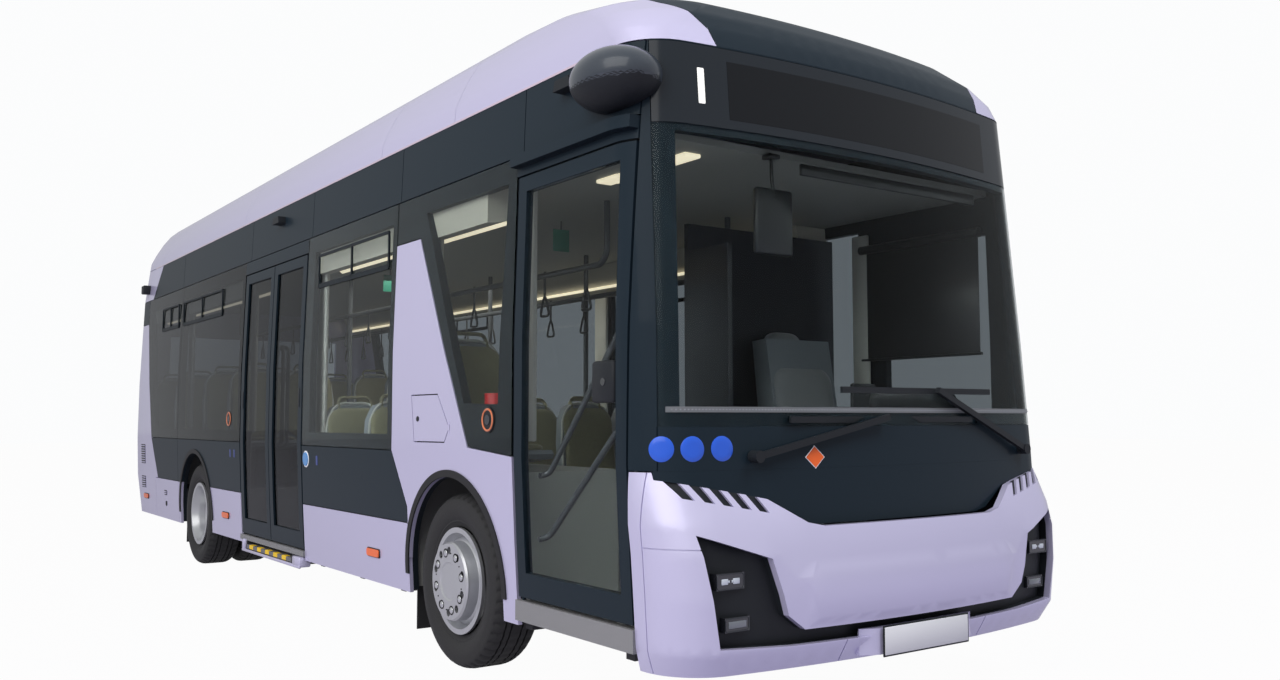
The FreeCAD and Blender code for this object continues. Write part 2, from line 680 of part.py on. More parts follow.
# Slots along the brow, with dark floors
slot_width = 46
slots = []
floors = []
for i in range(5):
    y = -1158 + 76 * i
    z = 1002 - (y + 1178) * 59 / 328
    slot = [(y, z), (y + slot_width, z - 8), (y + slot_width + 40, z - 74), (y + 44, z - 66)]
    inner = [(y + 0.5, z - 0.5), (y + slot_width - 0.5, z - 8.5), (y + slot_width + 39.5, z - 73.5),
             (y + 44.5, z - 65.5)]
    slots.append(both(slot))
    floors.append(both(inner))
slot_floor = 12
bumper = bumper.cut(all_of(slots).cut(bumper_envelope(slot_floor + 4)))
slot_skin = bumper_envelope(slot_floor).cut(bumper_envelope(slot_floor + 4 - size.seat_gap)).cut(across(hood_seat))

# Number plate's holder, with slanted ends, and the shut lines of the bumper's pieces
holder_plan = [(4560, -350), (4652, -350), (half_length - 8, -272), (half_length - 8, 272), (4652, 350), (4560, 350)]
holder = Part.Face(Part.makePolygon([Vector(x, y, 288) for x, y in holder_plan + holder_plan[:1]]))
holder = holder.extrude(Vector(0, 0, 104)).cut(bumper_back)
bumper = bumper.fuse(holder)
shut = slab(4360, 4365, -far, far, 0, bumper_top).fuse(slab(4362, 4720, -far, -1080, 744, 749))
shut = shut.fuse(slab(4362, 4720, 1080, far, 744, 749)).fuse(slab(4500, ahead, -436, -431, 0, 364))
shut = shut.fuse(slab(4500, ahead, 431, 436, 0, 364))
bumper = bumper.cut(shut.common(bumper_form).cut(bumper_envelope(5)))

# Feet on the shell's back that stand on the chassis rails' ends
rail_front = half_length - 175
feet = slab(rail_front, ahead, 385, 475, 272, 340).fuse(slab(rail_front, ahead, -475, -385, 272, 340))
bumper = bumper.fuse(feet.common(bumper_envelope(10)))
shaped("front_bumper", bumper.removeSplitter())
shaped("bumper_inserts", Part.makeCompound(tray.common(bumper_zone).cut(feet).Solids
                                           + slot_skin.common(all_of(floors)).common(bumper_zone).Solids))
hood_zone = slab(corner_x, ahead, -far, far, 0, bumper_top - size.seat_gap)
shaped("hood_panel", skin.common(across(hood_half)).common(hood_zone))

lamp_boxes = []
for side in (-1, 1):
    for y, z, wide, tall in ((960, 624, 136, 62), (928, 462, 121, 54)):
        x_face = bumper_face(y, z) - tray_depth
        lamp = slab(x_face - 40, x_face + 22, side * y - wide / 2, side * y + wide / 2, z - tall / 2, z + tall / 2)
        lamp_boxes.append(lamp.cut(bumper_envelope(tray_depth - size.seat_gap)))
shaped("head_lamps", Part.makeCompound([lamp.Solids[0] for lamp in lamp_boxes]))

# Rear wall: wrapped corners with a window, an engine bay opening and the lamps
tail_end = -half_length - 20
tail_low_zone = [(tail_end, low), (tail_split, low), (tail_split, line), tail_foot, tail_knee, tail_top,
                 (tail_end, tail_top[1])]
crown_zone = [(tail_end, cant), (tail_cant, cant), (tail_eaves, eaves), (tail_end, eaves)]
tail_zone = [(tail_end, low)] + tail_line + [(tail_end, frame_top + 1)]
hatch_half = 760
hatch_low = 560
hatch_high = 1180
rear_window_half = 900
rear_window_low = 1400
rear_window_high = 2110
hinge_z = hatch_high + 4
hinge_x = body_rear(hinge_z) - 6


def hinge_leaf(middle, width, z_low, z_high):
    """A barrel on the hatch's hinge line with the tab that holds it."""
    start = middle - width / 2
    barrel = Part.makeCylinder(7, width, Vector(hinge_x, start, hinge_z), Vector(0, 1, 0))
    return barrel.fuse(slab(hinge_x, hinge_x + 20, start, start + width, z_low, z_high))


hatch_leaves = []
wall_leaves = []
for y in (-250, 250):
    hatch_leaves.append(hinge_leaf(y, 50, hinge_z - 24, hinge_z))
    for step in (-50, 50):
        wall_leaves.append(hinge_leaf(y + step, 50 - 2 * size.pin_gap, hinge_z, hinge_z + 24))
hatch_opening = slab(-half_length - 10, -4300, -hatch_half - 8, hatch_half + 8, hatch_low - 8, hatch_high + 8)
rear_hole = slab(-half_length - 10, -4300, -rear_window_half, rear_window_half, rear_window_low, rear_window_high)
rear_pane_zone = slab(-half_length - 10, -4300, -rear_window_half - 60, rear_window_half + 60,
                      rear_window_low - 60, rear_window_high + 60)
rear_wall = skin.common(inset_prism(tail_low_zone, gap / 2, -far, far))
rear_post = post_skin.common(inset_prism(tail_zone, size.seat_gap / 2, -far, far))
rear_crown = panel_skin.common(inset_prism(crown_zone, gap / 2, -far, far))
above_skirt = slab(tail_end, 0, -far, far, frame_low, size.roof_high)
rear_wall = rear_wall.fuse(rear_post.common(above_skirt)).fuse(rear_crown).cut(hatch_opening).cut(rear_hole)
rear_wall = rear_wall.cut(outer.cut(frame_face).common(rear_pane_zone))
shaped("rear_wall", rear_wall.multiFuse(wall_leaves).removeSplitter())
shaped("rear_glass", pane_skin.common(slab(-half_length - 10, -4300, -rear_window_half - 57,
                                           rear_window_half + 57, rear_window_low - 57, rear_window_high + 57)))
hatch = skin.common(slab(-half_length - 10, -4300, -hatch_half, hatch_half, hatch_low, hatch_high))
shaped("rear_hatch", hatch.multiFuse(hatch_leaves).removeSplitter())
tail_lamps = []
for side in (-1, 1):
    for z in (760, 890, 1020):
        x_face = body_rear(z) + size.rear_bow - math.sqrt(size.rear_bow ** 2 - 930 ** 2) - size.lamp_proud
        lamp = Part.makeCylinder(50, 40, Vector(x_face, side * 930, z), Vector(1, 0, 0))
        tail_lamps.append(lamp.cut(body_envelope(-size.seat_gap)))
shaped("rear_lamps", Part.makeCompound([lamp.Solids[0] for lamp in tail_lamps]))

# Roof: front cap, side fairings and centre panel
roof = roof_envelope(0).cut(roof_envelope(size.roof_skin))
cap_rear = 3380
fairing_inner = 985
cap_border = ((3950, fairing_inner), (4150, 955), (4280, 900), (4370, 845), (4450, 790), (ahead, 700))


def cap_plan(rear, wider):
    """The cap's zone: its border runs in towards the front, moved out by a share of the gap."""
    side = [(rear, fairing_inner + wider)] + [(x, y + wider) for x, y in cap_border]
    corners = [Vector(x, -y, 0) for x, y in side] + [Vector(x, y, 0) for x, y in reversed(side)]
    return Part.Face(Part.makePolygon(corners + corners[:1])).extrude(Vector(0, 0, 4000))


cap_zone = cap_plan(cap_rear + gap, 0)
cap_room = cap_plan(cap_rear - gap, gap)
shaped("roof_cap", roof.common(cap_zone))
fairings = []
fairing_splits = (-half_length - 10, -3700, -960, 1740, 2690, ahead)
middle_room = slab(-half_length - 20, cap_rear, -fairing_inner - gap, fairing_inner + gap, 0, 4000)
for start, stop in zip(fairing_splits, fairing_splits[1:]):
    for low_y, high_y in ((-far, -600), (600, far)):
        piece = roof.common(slab(start + gap / 4, stop - gap / 4, low_y, high_y, 0, 4000)).cut(middle_room)
        fairings += (piece.cut(cap_room) if stop > cap_rear else piece).Solids
shaped("roof_fairings", Part.makeCompound(fairings))
shaped("roof_panel", roof.common(slab(-half_length, cap_rear, -fairing_inner, fairing_inner, 0, 4000)))

# Ceiling inside, its edges turned down to the cant panels
ceiling_low = 2395
ceiling_half = body_half(ceiling_low + 30) - size.wall - size.seat_gap
ceiling = slab(-4500, 4200, -ceiling_half, ceiling_half, ceiling_low, ceiling_low + 30).common(lining)
shaped("ceiling_lining", ceiling)

# Floor: low board, raised rear platform, riser, sills and wheel boxes
board_low = size.floor_top - size.floor_thick
cab_end = 4180
cab_top = 560
front_sill_top = 425
floor_half = body_half(board_low) - size.wall - size.seat_gap
platform_low = size.platform_top - size.floor_thick
platform_half = body_half(platform_low) - size.wall - size.seat_gap


def floor_board(x_low, x_high, y_low, y_high, top):
    """A floor board, half a seat gap short of its neighbours."""
    e = size.seat_gap / 2
    return slab(x_low + e, x_high - e, y_low + e, y_high - e, top - size.floor_thick, top)


def boards(x_low, x_high, half, top, box_x):
    """A floor of boards, cut round the two wheel boxes that stand in it."""
    inner = size.wheel_box_inner
    box_low = box_x - size.wheel_box_half
    box_high = box_x + size.wheel_box_half
    pieces = [floor_board(x_low, x_high, -inner, inner, top)]
    for y_low, y_high in ((-half, -inner), (inner, half)):
        if box_low > x_low:
            pieces.append(floor_board(x_low, box_low, y_low, y_high, top))
        pieces.append(floor_board(box_high, x_high, y_low, y_high, top))
    return pieces


def wheel_box(axle_x, low_z, half):
    """A sheet box over a wheel, open to the road and to the arch."""
    t = size.sheet_metal
    x_low = axle_x - size.wheel_box_half
    x_high = axle_x + size.wheel_box_half
    box = slab(x_low, x_high, -half, -size.wheel_box_inner, low_z, size.wheel_box_top)
    return box.cut(slab(x_low + t, x_high - t, -far, -size.wheel_box_inner - t, 0, size.wheel_box_top - t))


room = body_envelope(size.wall + size.seat_gap)
low_boards = boards(size.platform_x, cab_end, floor_half, size.floor_top, size.front_axle_x)
high_boards = boards(-4480, size.platform_x - size.sheet_metal, platform_half, size.platform_top, rear_axle_x)
riser = slab(size.platform_x - size.sheet_metal, size.platform_x - size.seat_gap, -floor_half, floor_half,
             size.floor_top - size.floor_thick, platform_low - size.seat_gap)
cab_low = size.front_axle_x + size.wheel_box_half + size.seat_gap
cab_deck = slab(cab_low, cab_end, 60, floor_half, cab_top - 25, cab_top)
cab_rear = slab(cab_low, cab_low + 5, 60, floor_half, size.floor_top + size.seat_gap, cab_top - 20)
cab_side_sheet = slab(cab_low, cab_end, 60, 65, size.floor_top + size.seat_gap, cab_top - 20)
cab_podium = cab_deck.fuse(cab_rear).fuse(cab_side_sheet).removeSplitter()
sill_low = size.floor_top - size.floor_thick
sill_y = -floor_half - size.seat_gap
front_sill = slab(size.front_door_rear, corner_x - size.seat_gap, -1200, sill_y, sill_low, front_sill_top)
mid_sill = slab(size.mid_door_rear, size.mid_door_front, -1200, sill_y, sill_low, size.floor_top)
floor_parts = [piece.common(room) for piece in low_boards + high_boards + [riser, cab_podium]]
floor_parts += [front_sill, mid_sill]
shaped("saloon_floor", Part.makeCompound([piece.Solids[0] for piece in floor_parts]))
wheel_boxes = [wheel_box(size.front_axle_x, board_low, floor_half), wheel_box(rear_axle_x, platform_low, platform_half)]
wheel_boxes += [mirror_shape(box) for box in wheel_boxes]
shaped("wheel_boxes", Part.makeCompound(wheel_boxes))

# Chassis: low rails between the axles, raised rails over the rear axle, cross members between them
rail_low = "Sizes.floor_top - Sizes.floor_thick - Sizes.rail_height"
riser_x = "Sizes.platform_x - Sizes.sheet_metal - Sizes.rail_width - 1"
rails = []
rails.append(block("LowRail", riser_x, "Sizes.rail_y - Sizes.rail_width / 2", rail_low + " - Sizes.seat_gap",
                   "Sizes.overall_length / 2 - 175 - Sizes.seat_gap - (" + riser_x + ")", "Sizes.rail_width",
                   "Sizes.rail_height"))
rails.append(block("HighRail", "-4560", "Sizes.rail_y - Sizes.rail_width / 2",
                   "Sizes.platform_top - Sizes.floor_thick - Sizes.rail_height * 2 - Sizes.seat_gap",
                   riser_x + " + 4560 + Sizes.rail_width", "Sizes.rail_width", "Sizes.rail_height * 2"))
rails.append(block("RailPost", riser_x, "Sizes.rail_y - Sizes.rail_width / 2", rail_low + " - Sizes.seat_gap",
                   "Sizes.rail_width", "Sizes.rail_width",
                   "Sizes.platform_top - Sizes.floor_top + Sizes.rail_height"))
for name, x in (("Fore", "1550"), ("Aft", "-550")):
    rails.append(block("JackPad" + name, x, "Sizes.rail_y - Sizes.rail_width / 2", rail_low + " - 10", "100",
                       "Sizes.rail_width", "20"))
side_rail = join("SideRail", rails)
crosses = []
low_crosses = [("A", "4100"), ("B", "3300"), ("C", "1900"), ("D", "1300"), ("E", "620"), ("F", "-880")]
high_crosses = [("G", "-1500"), ("H", "-3120"), ("I", "-3800"), ("J", "-4430")]
rail_out = "Sizes.rail_y + Sizes.rail_width / 2 + Sizes.seat_gap"
rail_in = "Sizes.rail_y - Sizes.rail_width / 2 - Sizes.seat_gap"
for group, z in ((low_crosses, rail_low), (high_crosses, "Sizes.platform_top - Sizes.floor_thick - Sizes.rail_height")):
    for name, x in group:
        crosses.append(block("Cross" + name, x, "-(" + rail_in + ")", z + " - Sizes.seat_gap", "Sizes.rail_width",
                             "2 * (" + rail_in + ")", "Sizes.rail_height"))
        arm = block("Outrigger" + name, x, rail_out, z + " - Sizes.seat_gap", "Sizes.rail_width",
                    "1100 - (" + rail_out + ")", "Sizes.rail_height")
        crosses += [arm, mirrored("Outrigger" + name + "Right", arm)]
publish("chassis_frame", join("Chassis", [side_rail, mirrored("SideRailRight", side_rail)] + crosses))

# Ramp: a flat plate that slides out of a tray under the middle door
ramp_x = "(Sizes.mid_door_rear + Sizes.mid_door_front) / 2 - Sizes.ramp_width / 2"
ramp_y = "-Sizes.body_width / 2 + 15"
ramp = block("RampPlate", ramp_x, ramp_y, "Sizes.ramp_low", "Sizes.ramp_width", "Sizes.ramp_length",
             "Sizes.ramp_thick")
publish("ramp", ramp)
tray_box = block("TrayBox", ramp_x + " - 30", ramp_y + " + 5", "Sizes.ramp_low - 21", "Sizes.ramp_width + 60",
                 "Sizes.ramp_length + 35",
                 "Sizes.floor_top - Sizes.floor_thick - Sizes.seat_gap - Sizes.ramp_low + 21")
tray_room = block("TrayRoom", ramp_x + " - 6", ramp_y + " - 50", "Sizes.ramp_low - Sizes.seat_gap",
                  "Sizes.ramp_width + 12", "Sizes.ramp_length + 56", "Sizes.ramp_thick + 100")
publish("ramp_cassette", cut("Tray", tray_box, tray_room))

# Front axle: a beam dropped under the low floor, with an eye for each kingpin
eye_radius = "Sizes.kingpin_radius + 32"
beam = block("Beam", "Sizes.front_axle_x - 50", "-Sizes.kingpin_y + 55", "175", "100",
             "2 * Sizes.kingpin_y - 110", "90")
arm = block("DropArm", "Sizes.front_axle_x - 50", "Sizes.kingpin_y - 115", "175", "100", "60",
            "Sizes.tyre_radius + 50 - 175")
eye = rod("Eye", "z", "Sizes.front_axle_x", "Sizes.kingpin_y", "Sizes.tyre_radius - 50", eye_radius, "100")
neck = block("EyeNeck", "Sizes.front_axle_x - 30", "Sizes.kingpin_y - 60", "Sizes.tyre_radius - 50", "60", "40",
             "100")
bore = rod("EyeBore", "z", "Sizes.front_axle_x", "Sizes.kingpin_y", "Sizes.tyre_radius - 60",
           "Sizes.kingpin_radius + Sizes.pin_gap", "120")
half_axle = cut("HalfAxle", join("ArmEye", [arm, neck, eye]), bore)
spring_seat = block("SpringSeat", "Sizes.front_axle_x - 75", "Sizes.rail_y - 60", "264", "150", "120",
                    rail_low + " - 2 * Sizes.seat_gap - 264")
publish("front_axle", join("FrontAxle", [beam, half_axle, mirrored("HalfAxleRight", half_axle), spring_seat,
                                         mirrored("SpringSeatRight", spring_seat)]))

# Knuckles: a fork round the axle's eye with the kingpin through it and the wheel's spindle
disc_y = "Sizes.body_width / 2 - Sizes.tyre_inset - Sizes.tyre_width / 2"


def knuckle(side):
    """One knuckle, modelled on the left; the right one is its mirror image."""
    pin = rod("Kingpin" + side, "z", "Sizes.front_axle_x", "Sizes.kingpin_y", "Sizes.tyre_radius - 80",
              "Sizes.kingpin_radius", "160")
    lugs = []
    for name, z in (("Low", "Sizes.tyre_radius - 80"), ("High", "Sizes.tyre_radius + 56")):
        lugs.append(rod(name + "Lug" + side, "z", "Sizes.front_axle_x", "Sizes.kingpin_y", z, "48", "24"))
        lugs.append(block(name + "Web" + side, "Sizes.front_axle_x - 40", "Sizes.kingpin_y", z, "80", "90", "24"))
    plate = block("Plate" + side, "Sizes.front_axle_x - 60", "Sizes.kingpin_y + 62", "Sizes.tyre_radius - 80",
                  "120", "28", "160")
    spindle = rod("Spindle" + side, "y", "Sizes.front_axle_x", "Sizes.kingpin_y + 80", "Sizes.tyre_radius",
                  "Sizes.spindle_radius", disc_y + " - Sizes.kingpin_y - 80 + 110")
    return join("Knuckle" + side, [pin, plate, spindle] + lugs)


publish("knuckle_left", knuckle("Left"))
publish("knuckle_right", mirrored("KnuckleRight", knuckle("Base")))

# Tyres: forty-eight sided, each level of the section being (radius, distance from the middle plane)
tyre_sides = 48
tyre_half = size.tyre_width / 2
bulge = (size.bead_radius + size.tyre_radius) / 2
tyre_section = ((size.bead_radius + 4, 30.5 - tyre_half), (bulge, -tyre_half), (size.tyre_radius - 30, 14 - tyre_half),
                (size.tyre_radius - 4, 34 - tyre_half), (size.tyre_radius, 60 - tyre_half))


def ring_outline(radius, y):
    """A regular polygon in a wheel's plane, with a corner at its foot."""
    turn = 2 * math.pi / tyre_sides
    corners = [Vector(radius * math.sin(i * turn), y, -radius * math.cos(i * turn)) for i in range(tyre_sides)]
    return Part.makePolygon(corners + corners[:1])


def tyre_shape():
    """A tyre round the origin: a ruled loft through its section, with the rim's hole."""
    levels = list(tyre_section) + [(radius, -y) for radius, y in reversed(tyre_section)]
    body = Part.makeLoft([ring_outline(radius, y) for radius, y in levels], True, True)
    clear = (size.bead_radius + size.seat_gap) / math.cos(math.pi / tyre_sides)
    hole = Part.Face(ring_outline(clear, -tyre_half)).extrude(Vector(0, 2 * tyre_half, 0))
    return body.cut(hole)


tyre = tyre_shape()


def tyres(label, x, *places):
    """A wheel's tyres, standing on the road."""
    standing = []
    for y in places:
        one = tyre.copy()
        one.translate(Vector(x, y, size.tyre_radius))
        standing.append(one)
    shaped(label, Part.makeCompound(standing))


def placed(body, x, y):
    """Put a wheel part on its axle, at rest on the road."""
    return move(body, x, y, "Sizes.tyre_radius")


rear_x = "Sizes.front_axle_x - Sizes.wheelbase"
tyres("tyre_front_left", size.front_axle_x, tyre_y)
tyres("tyre_front_right", size.front_axle_x, -tyre_y)
tyres("tyres_rear_left", rear_axle_x, tyre_y, tyre_y - size.twin_spacing)
tyres("tyres_rear_right", rear_axle_x, -tyre_y, size.twin_spacing - tyre_y)

# Rims. Outboard is +Y in the profile, so the right-hand ones are turned about.
lip = "Sizes.bead_radius + 14"
well = "Sizes.bead_radius - 28"
edge = "Sizes.tyre_width / 2 - 22"
front_rim = [("Sizes.spindle_radius + Sizes.pin_gap", "-45"), ("105", "-45"), ("105", "60"), ("175", "92"),
             ("195", "84"), (well + " - Sizes.rim_wall", "40"), (well + " - Sizes.rim_wall", "-(" + edge + " - 20)"),
             ("Sizes.bead_radius - 12", "-(" + edge + ")"), ("Sizes.bead_radius", "-(" + edge + " - 8)"),
             (well, "-40"), (well, "60"), ("Sizes.bead_radius", edge + " - 8"), (lip, edge + " - 3"),
             (lip, edge + " + 12"), ("Sizes.bead_radius - 12", edge + " + 12"), (well + " - 4", "82"),
             ("204", "98"), ("196", "104"), ("194", "160"), ("186", "170"), ("96", "172"), ("88", "167"),
             ("0", "167"), ("0", "112"), ("Sizes.spindle_radius + Sizes.pin_gap", "112")]

hand_holes = 10


def wheel_disc(name, points, hole_at, hole_radius, sign):
    """A rim turned from its section, with a ring of hand holes through its disc."""
    body = turned(name, points)
    doc.recompute()
    sketch = body.newObject("Sketcher::SketchObject", name + "_hole")
    sketch.AttachmentSupport = (origin_plane(body, "XZ_Plane"), [""])
    sketch.MapMode = "FlatFace"
    sketch.addGeometry(Part.Circle(Vector(0, hole_at, 0), Vector(0, 0, 1), hole_radius), False)
    sketch.addConstraint(Sketcher.Constraint("Radius", 0, hole_radius))
    sketch.addConstraint(Sketcher.Constraint("PointOnObject", 0, 3, -2))
    sketch.addConstraint(Sketcher.Constraint("DistanceY", -1, 1, 0, 3, hole_at))
    pocket = body.newObject("PartDesign::Pocket", name + "_pocket")
    pocket.Profile = sketch
    pocket.Type = "ThroughAll"
    pocket.Midplane = True
    ring = body.newObject("PartDesign::PolarPattern", name + "_ring")
    ring.Originals = [pocket]
    ring.Axis = (sketch, ["N_Axis"])
    ring.Angle = 360
    ring.Occurrences = hand_holes
    body.Tip = ring
    if sign:
        body.Placement = Placement(Vector(), Rotation(Vector(0, 0, 1), 180))
    return body


for name, sign in (("left", ""), ("right", "-")):
    rim = wheel_disc("FrontRim" + name, front_rim, 152, 19, sign)
    publish("rim_front_" + name, placed(rim, "Sizes.front_axle_x", sign + "(" + disc_y + ")"))

# Twin rear wheels: two tyres and two rims bolted face to face, one turning body a side
twin_mid = "-Sizes.twin_spacing / 2"
rear_rim = [("Sizes.spindle_radius + Sizes.pin_gap", twin_mid + " - 60"), ("110", twin_mid + " - 60"),
            ("110", twin_mid + " - 12"), ("200", twin_mid + " - 12"),
            (well + " - Sizes.rim_wall", twin_mid + " - 34"),
            (well + " - Sizes.rim_wall", "-Sizes.twin_spacing - (" + edge + " - 20)"),
            ("Sizes.bead_radius - 12", "-Sizes.twin_spacing - (" + edge + ")"),
            ("Sizes.bead_radius", "-Sizes.twin_spacing - (" + edge + " - 8)"),
            (well, "-Sizes.twin_spacing - 40"), (well, twin_mid + " - 44"),
            ("215", twin_mid), (well, twin_mid + " + 44"), (well, "40"),
            ("Sizes.bead_radius", edge + " - 8"), (lip, edge + " - 3"), (lip, edge + " + 12"),
            ("Sizes.bead_radius - 12", edge + " + 12"), (well + " - Sizes.rim_wall", "60"),
            (well + " - Sizes.rim_wall", twin_mid + " + 34"), ("200", twin_mid + " + 12"),
            ("125", twin_mid + " + 12"), ("120", "20"), ("100", "45"),
            ("Sizes.spindle_radius + Sizes.pin_gap", "45")]
for name, sign in (("left", ""), ("right", "-")):
    rim = wheel_disc("RearRim" + name, rear_rim, 165, 22, sign)
    publish("rims_rear_" + name, placed(rim, rear_x, sign + "(" + disc_y + ")"))

# Rear axle: tube, spindles and the pads of its air springs
axle_tube = rod("AxleTube", "y", rear_x, "-560", "Sizes.tyre_radius", "75", "1120")
spindle_reach = "(" + disc_y + " + 30)"
spindles = rod("RearSpindle", "y", rear_x, "-" + spindle_reach, "Sizes.tyre_radius", "Sizes.spindle_radius",
               "2 * " + spindle_reach)
drive_case = rod("DriveCase", "x", rear_x + " - 130", "0", "Sizes.tyre_radius + 20", "125", "250")
pads = []
for name, dx in (("Fore", "150"), ("Aft", "-300")):
    pads.append(block("SpringPad" + name, rear_x + " + " + dx, "270", "Sizes.tyre_radius - 60", "150", "150",
                      "20"))
pads.append(block("SpringBeam", rear_x + " - 300", "310", "Sizes.tyre_radius - 50", "600", "60", "50"))
pads += [mirrored(pad.Name + "Right", pad) for pad in list(pads)]
springs = []
for name, dx in (("Fore", "225"), ("Aft", "-225")):
    spring = rod("AirSpring" + name, "z", rear_x + " + " + dx, "345", "Sizes.tyre_radius - 40", "70",
                 "Sizes.platform_top - Sizes.floor_thick - Sizes.rail_height * 2 - Sizes.tyre_radius + 40"
                 " - 2 * Sizes.seat_gap")
    springs += [spring, mirrored("AirSpring" + name + "Right", spring)]
publish("rear_axle", join("RearAxle", [axle_tube, spindles, drive_case] + pads + springs))

# Electric motor ahead of the rear axle's tube, and the battery boxes over the tail and on the roof
motor = rod("Motor", "x", rear_x + " - 780", "0", "Sizes.tyre_radius + 20", "190", "560")
shaft = rod("MotorShaft", "x", rear_x + " - 220", "0", "Sizes.tyre_radius + 20", "45", "90 - Sizes.seat_gap")
hanger = block("MotorHanger", rear_x + " - 560", "-Sizes.rail_y + Sizes.rail_width / 2 + Sizes.seat_gap",
               "Sizes.tyre_radius + 100", "60", "2 * Sizes.rail_y - Sizes.rail_width - 2 * Sizes.seat_gap", "60")
publish("drive_motor", join("DriveMotor", [motor, shaft, hanger]))
hung = "Sizes.platform_top - Sizes.floor_thick - Sizes.rail_height - 2 * Sizes.seat_gap"
tail_pack = block("TailBattery", "-4400", "Sizes.rail_y + Sizes.rail_width / 2 + 10", hung + " - 264.4", "640", "600",
                  "264.4")
batteries = [tail_pack, mirrored("TailBatteryRight", tail_pack)]
batteries.append(block("RoofBattery", "-1200", "-640",
                       "Sizes.roof_high - Sizes.roof_skin - Sizes.seat_gap - 300", "2600", "1280", "300"))
publish("battery_packs", join("BatteryPacks", batteries))

# Wheel arch lips and mud flaps, in rubber
lips = []
for axle_x in (size.front_axle_x, rear_axle_x):
    for side in (RIGHT, LEFT):
        ring = Part.makeCylinder(size.arch_radius + size.arch_lip, side[1] - side[0],
                                 Vector(axle_x, side[0], size.tyre_radius), Vector(0, 1, 0))
        ring = ring.cut(Part.makeCylinder(size.arch_radius, side[1] - side[0],
                                          Vector(axle_x, side[0], size.tyre_radius), Vector(0, 1, 0)))
        ring = ring.cut(slab(axle_x - 800, axle_x + 800, side[0], side[1], 0, size.skirt_low + 100))
        lip_shell = body_envelope(-8).cut(outer)
        lips += ring.common(lip_shell).Solids
flaps = []
for flap_x, z_low, z_high, y_low, y_high in ((2170, 105, board_low - size.seat_gap, 880, 1125),
                                          (-2760, 135, platform_low - size.seat_gap, 620, 1125)):
    flap = slab(flap_x, flap_x + 8, y_low, y_high, z_low, z_high)
    flaps += [flap, mirror_shape(flap)]
shaped("arch_rubbers", Part.makeCompound(lips + flaps))


# Doors: leaves cut from the body's side, each with its pane
leaf_skin = outer.cut(body_envelope(size.leaf_thick))
leaf_pane = body_envelope(12).cut(body_envelope(12 + size.glass))


def door_leaf(label, x_low, x_high, z_low, hinge_end, sill):
    """A framed leaf with its pivot pins, and the pane in it. The pivot is at the leaf's -1 or +1 end."""
    rail = size.leaf_rail
    leaf = leaf_skin.common(slab(x_low, x_high, *RIGHT, z_low, size.door_high))
    light = slab(x_low + rail, x_high - rail, *RIGHT, z_low + size.leaf_toe, size.door_high - rail)
    fit = size.seat_gap
    pane = slab(x_low + rail + fit, x_high - rail - fit, *RIGHT, z_low + size.leaf_toe + fit,
                size.door_high - rail - fit)
    pivot_x = x_low + size.hinge_inset if hinge_end < 0 else x_high - size.hinge_inset
    pivot_y = size.hinge_depth - half_width
    top_pin = Part.makeCylinder(9, 30, Vector(pivot_x, pivot_y, door_head - size.pin_gap - 30))
    foot_pin = Part.makeCylinder(9, 30 + z_low - sill, Vector(pivot_x, pivot_y, sill + size.pin_gap))
    shaped(label, leaf.cut(light).fuse(top_pin).fuse(foot_pin).removeSplitter())
    shaped(label + "_glass", leaf_pane.common(pane))


door_middle = (size.mid_door_rear + size.mid_door_front) / 2
door_leaf("front_door", size.front_door_rear + size.door_gap, size.front_door_front - size.door_gap,
          size.front_leaf_low, -1, front_sill_top)
door_leaf("mid_door_rear", size.mid_door_rear + size.door_gap, door_middle - size.leaf_meeting / 2,
          size.mid_leaf_low, -1, size.floor_top)
door_leaf("mid_door_front", door_middle + size.leaf_meeting / 2, size.mid_door_front - size.door_gap,
          size.mid_leaf_low, 1, size.floor_top)

# Seats: shells cut to a rounded front outline from their side view, with cushions on seat and back
shell_side = [(0, 340), (430, 380), (450, 360), (440, 335), (40, 292), (-70, 300), (-130, 640), (-170, 950),
              (-140, 970), (-95, 950), (-60, 640)]
seat_width = 430
shell_front = [(0, 280), (seat_width, 280), (seat_width, 700), (seat_width - 18, 860), (seat_width - 60, 940),
               (seat_width - 125, 975), (125, 975), (60, 940), (18, 860), (0, 700)]
pad_side = [(26, 343), (410, 378.8), (405, 409), (26, 374)]
back_side = [(-10.3, 395), (-59.3, 640), (-87.4, 890), (-60, 893), (-26, 640), (22, 402)]
shell_base = 292
box_seat = size.wheel_box_top + size.seat_gap - shell_base
seat_spots = [(x, y, size.floor_top) for x in (1500, 780) for y in (-1120, -675, 690, 245)]
seat_spots += [(x, y, size.floor_top) for x in (60, -660) for y in (690, 245)]
seat_spots += [(x, y, size.platform_top) for x in (-1450, -3250) for y in (-1120, -675, 690, 245)]
seat_spots += [(-2230, y, box_seat) for y in (-1120, -675, 690, 245)]
seat_spots += [(-4250, y, size.platform_top) for y in (-1100, -655, -210, 235, 680)]
seat_spots += [(2420, 690, box_seat), (2420, -1120, box_seat)]
outline = prism(shell_front, -400, 600, "x")
shell = prism(shell_side, 0, seat_width).common(outline)
seat_pad = prism(pad_side, 22, seat_width - 22)
back_pad = prism(back_side, 22, seat_width - 22).common(prism([(22, 300), (seat_width - 22, 300),
                 (seat_width - 22, 700), (seat_width - 40, 850), (seat_width - 90, 900), (90, 900), (40, 850),
                 (22, 700)], -400, 600, "x"))
shells = []
pads = []
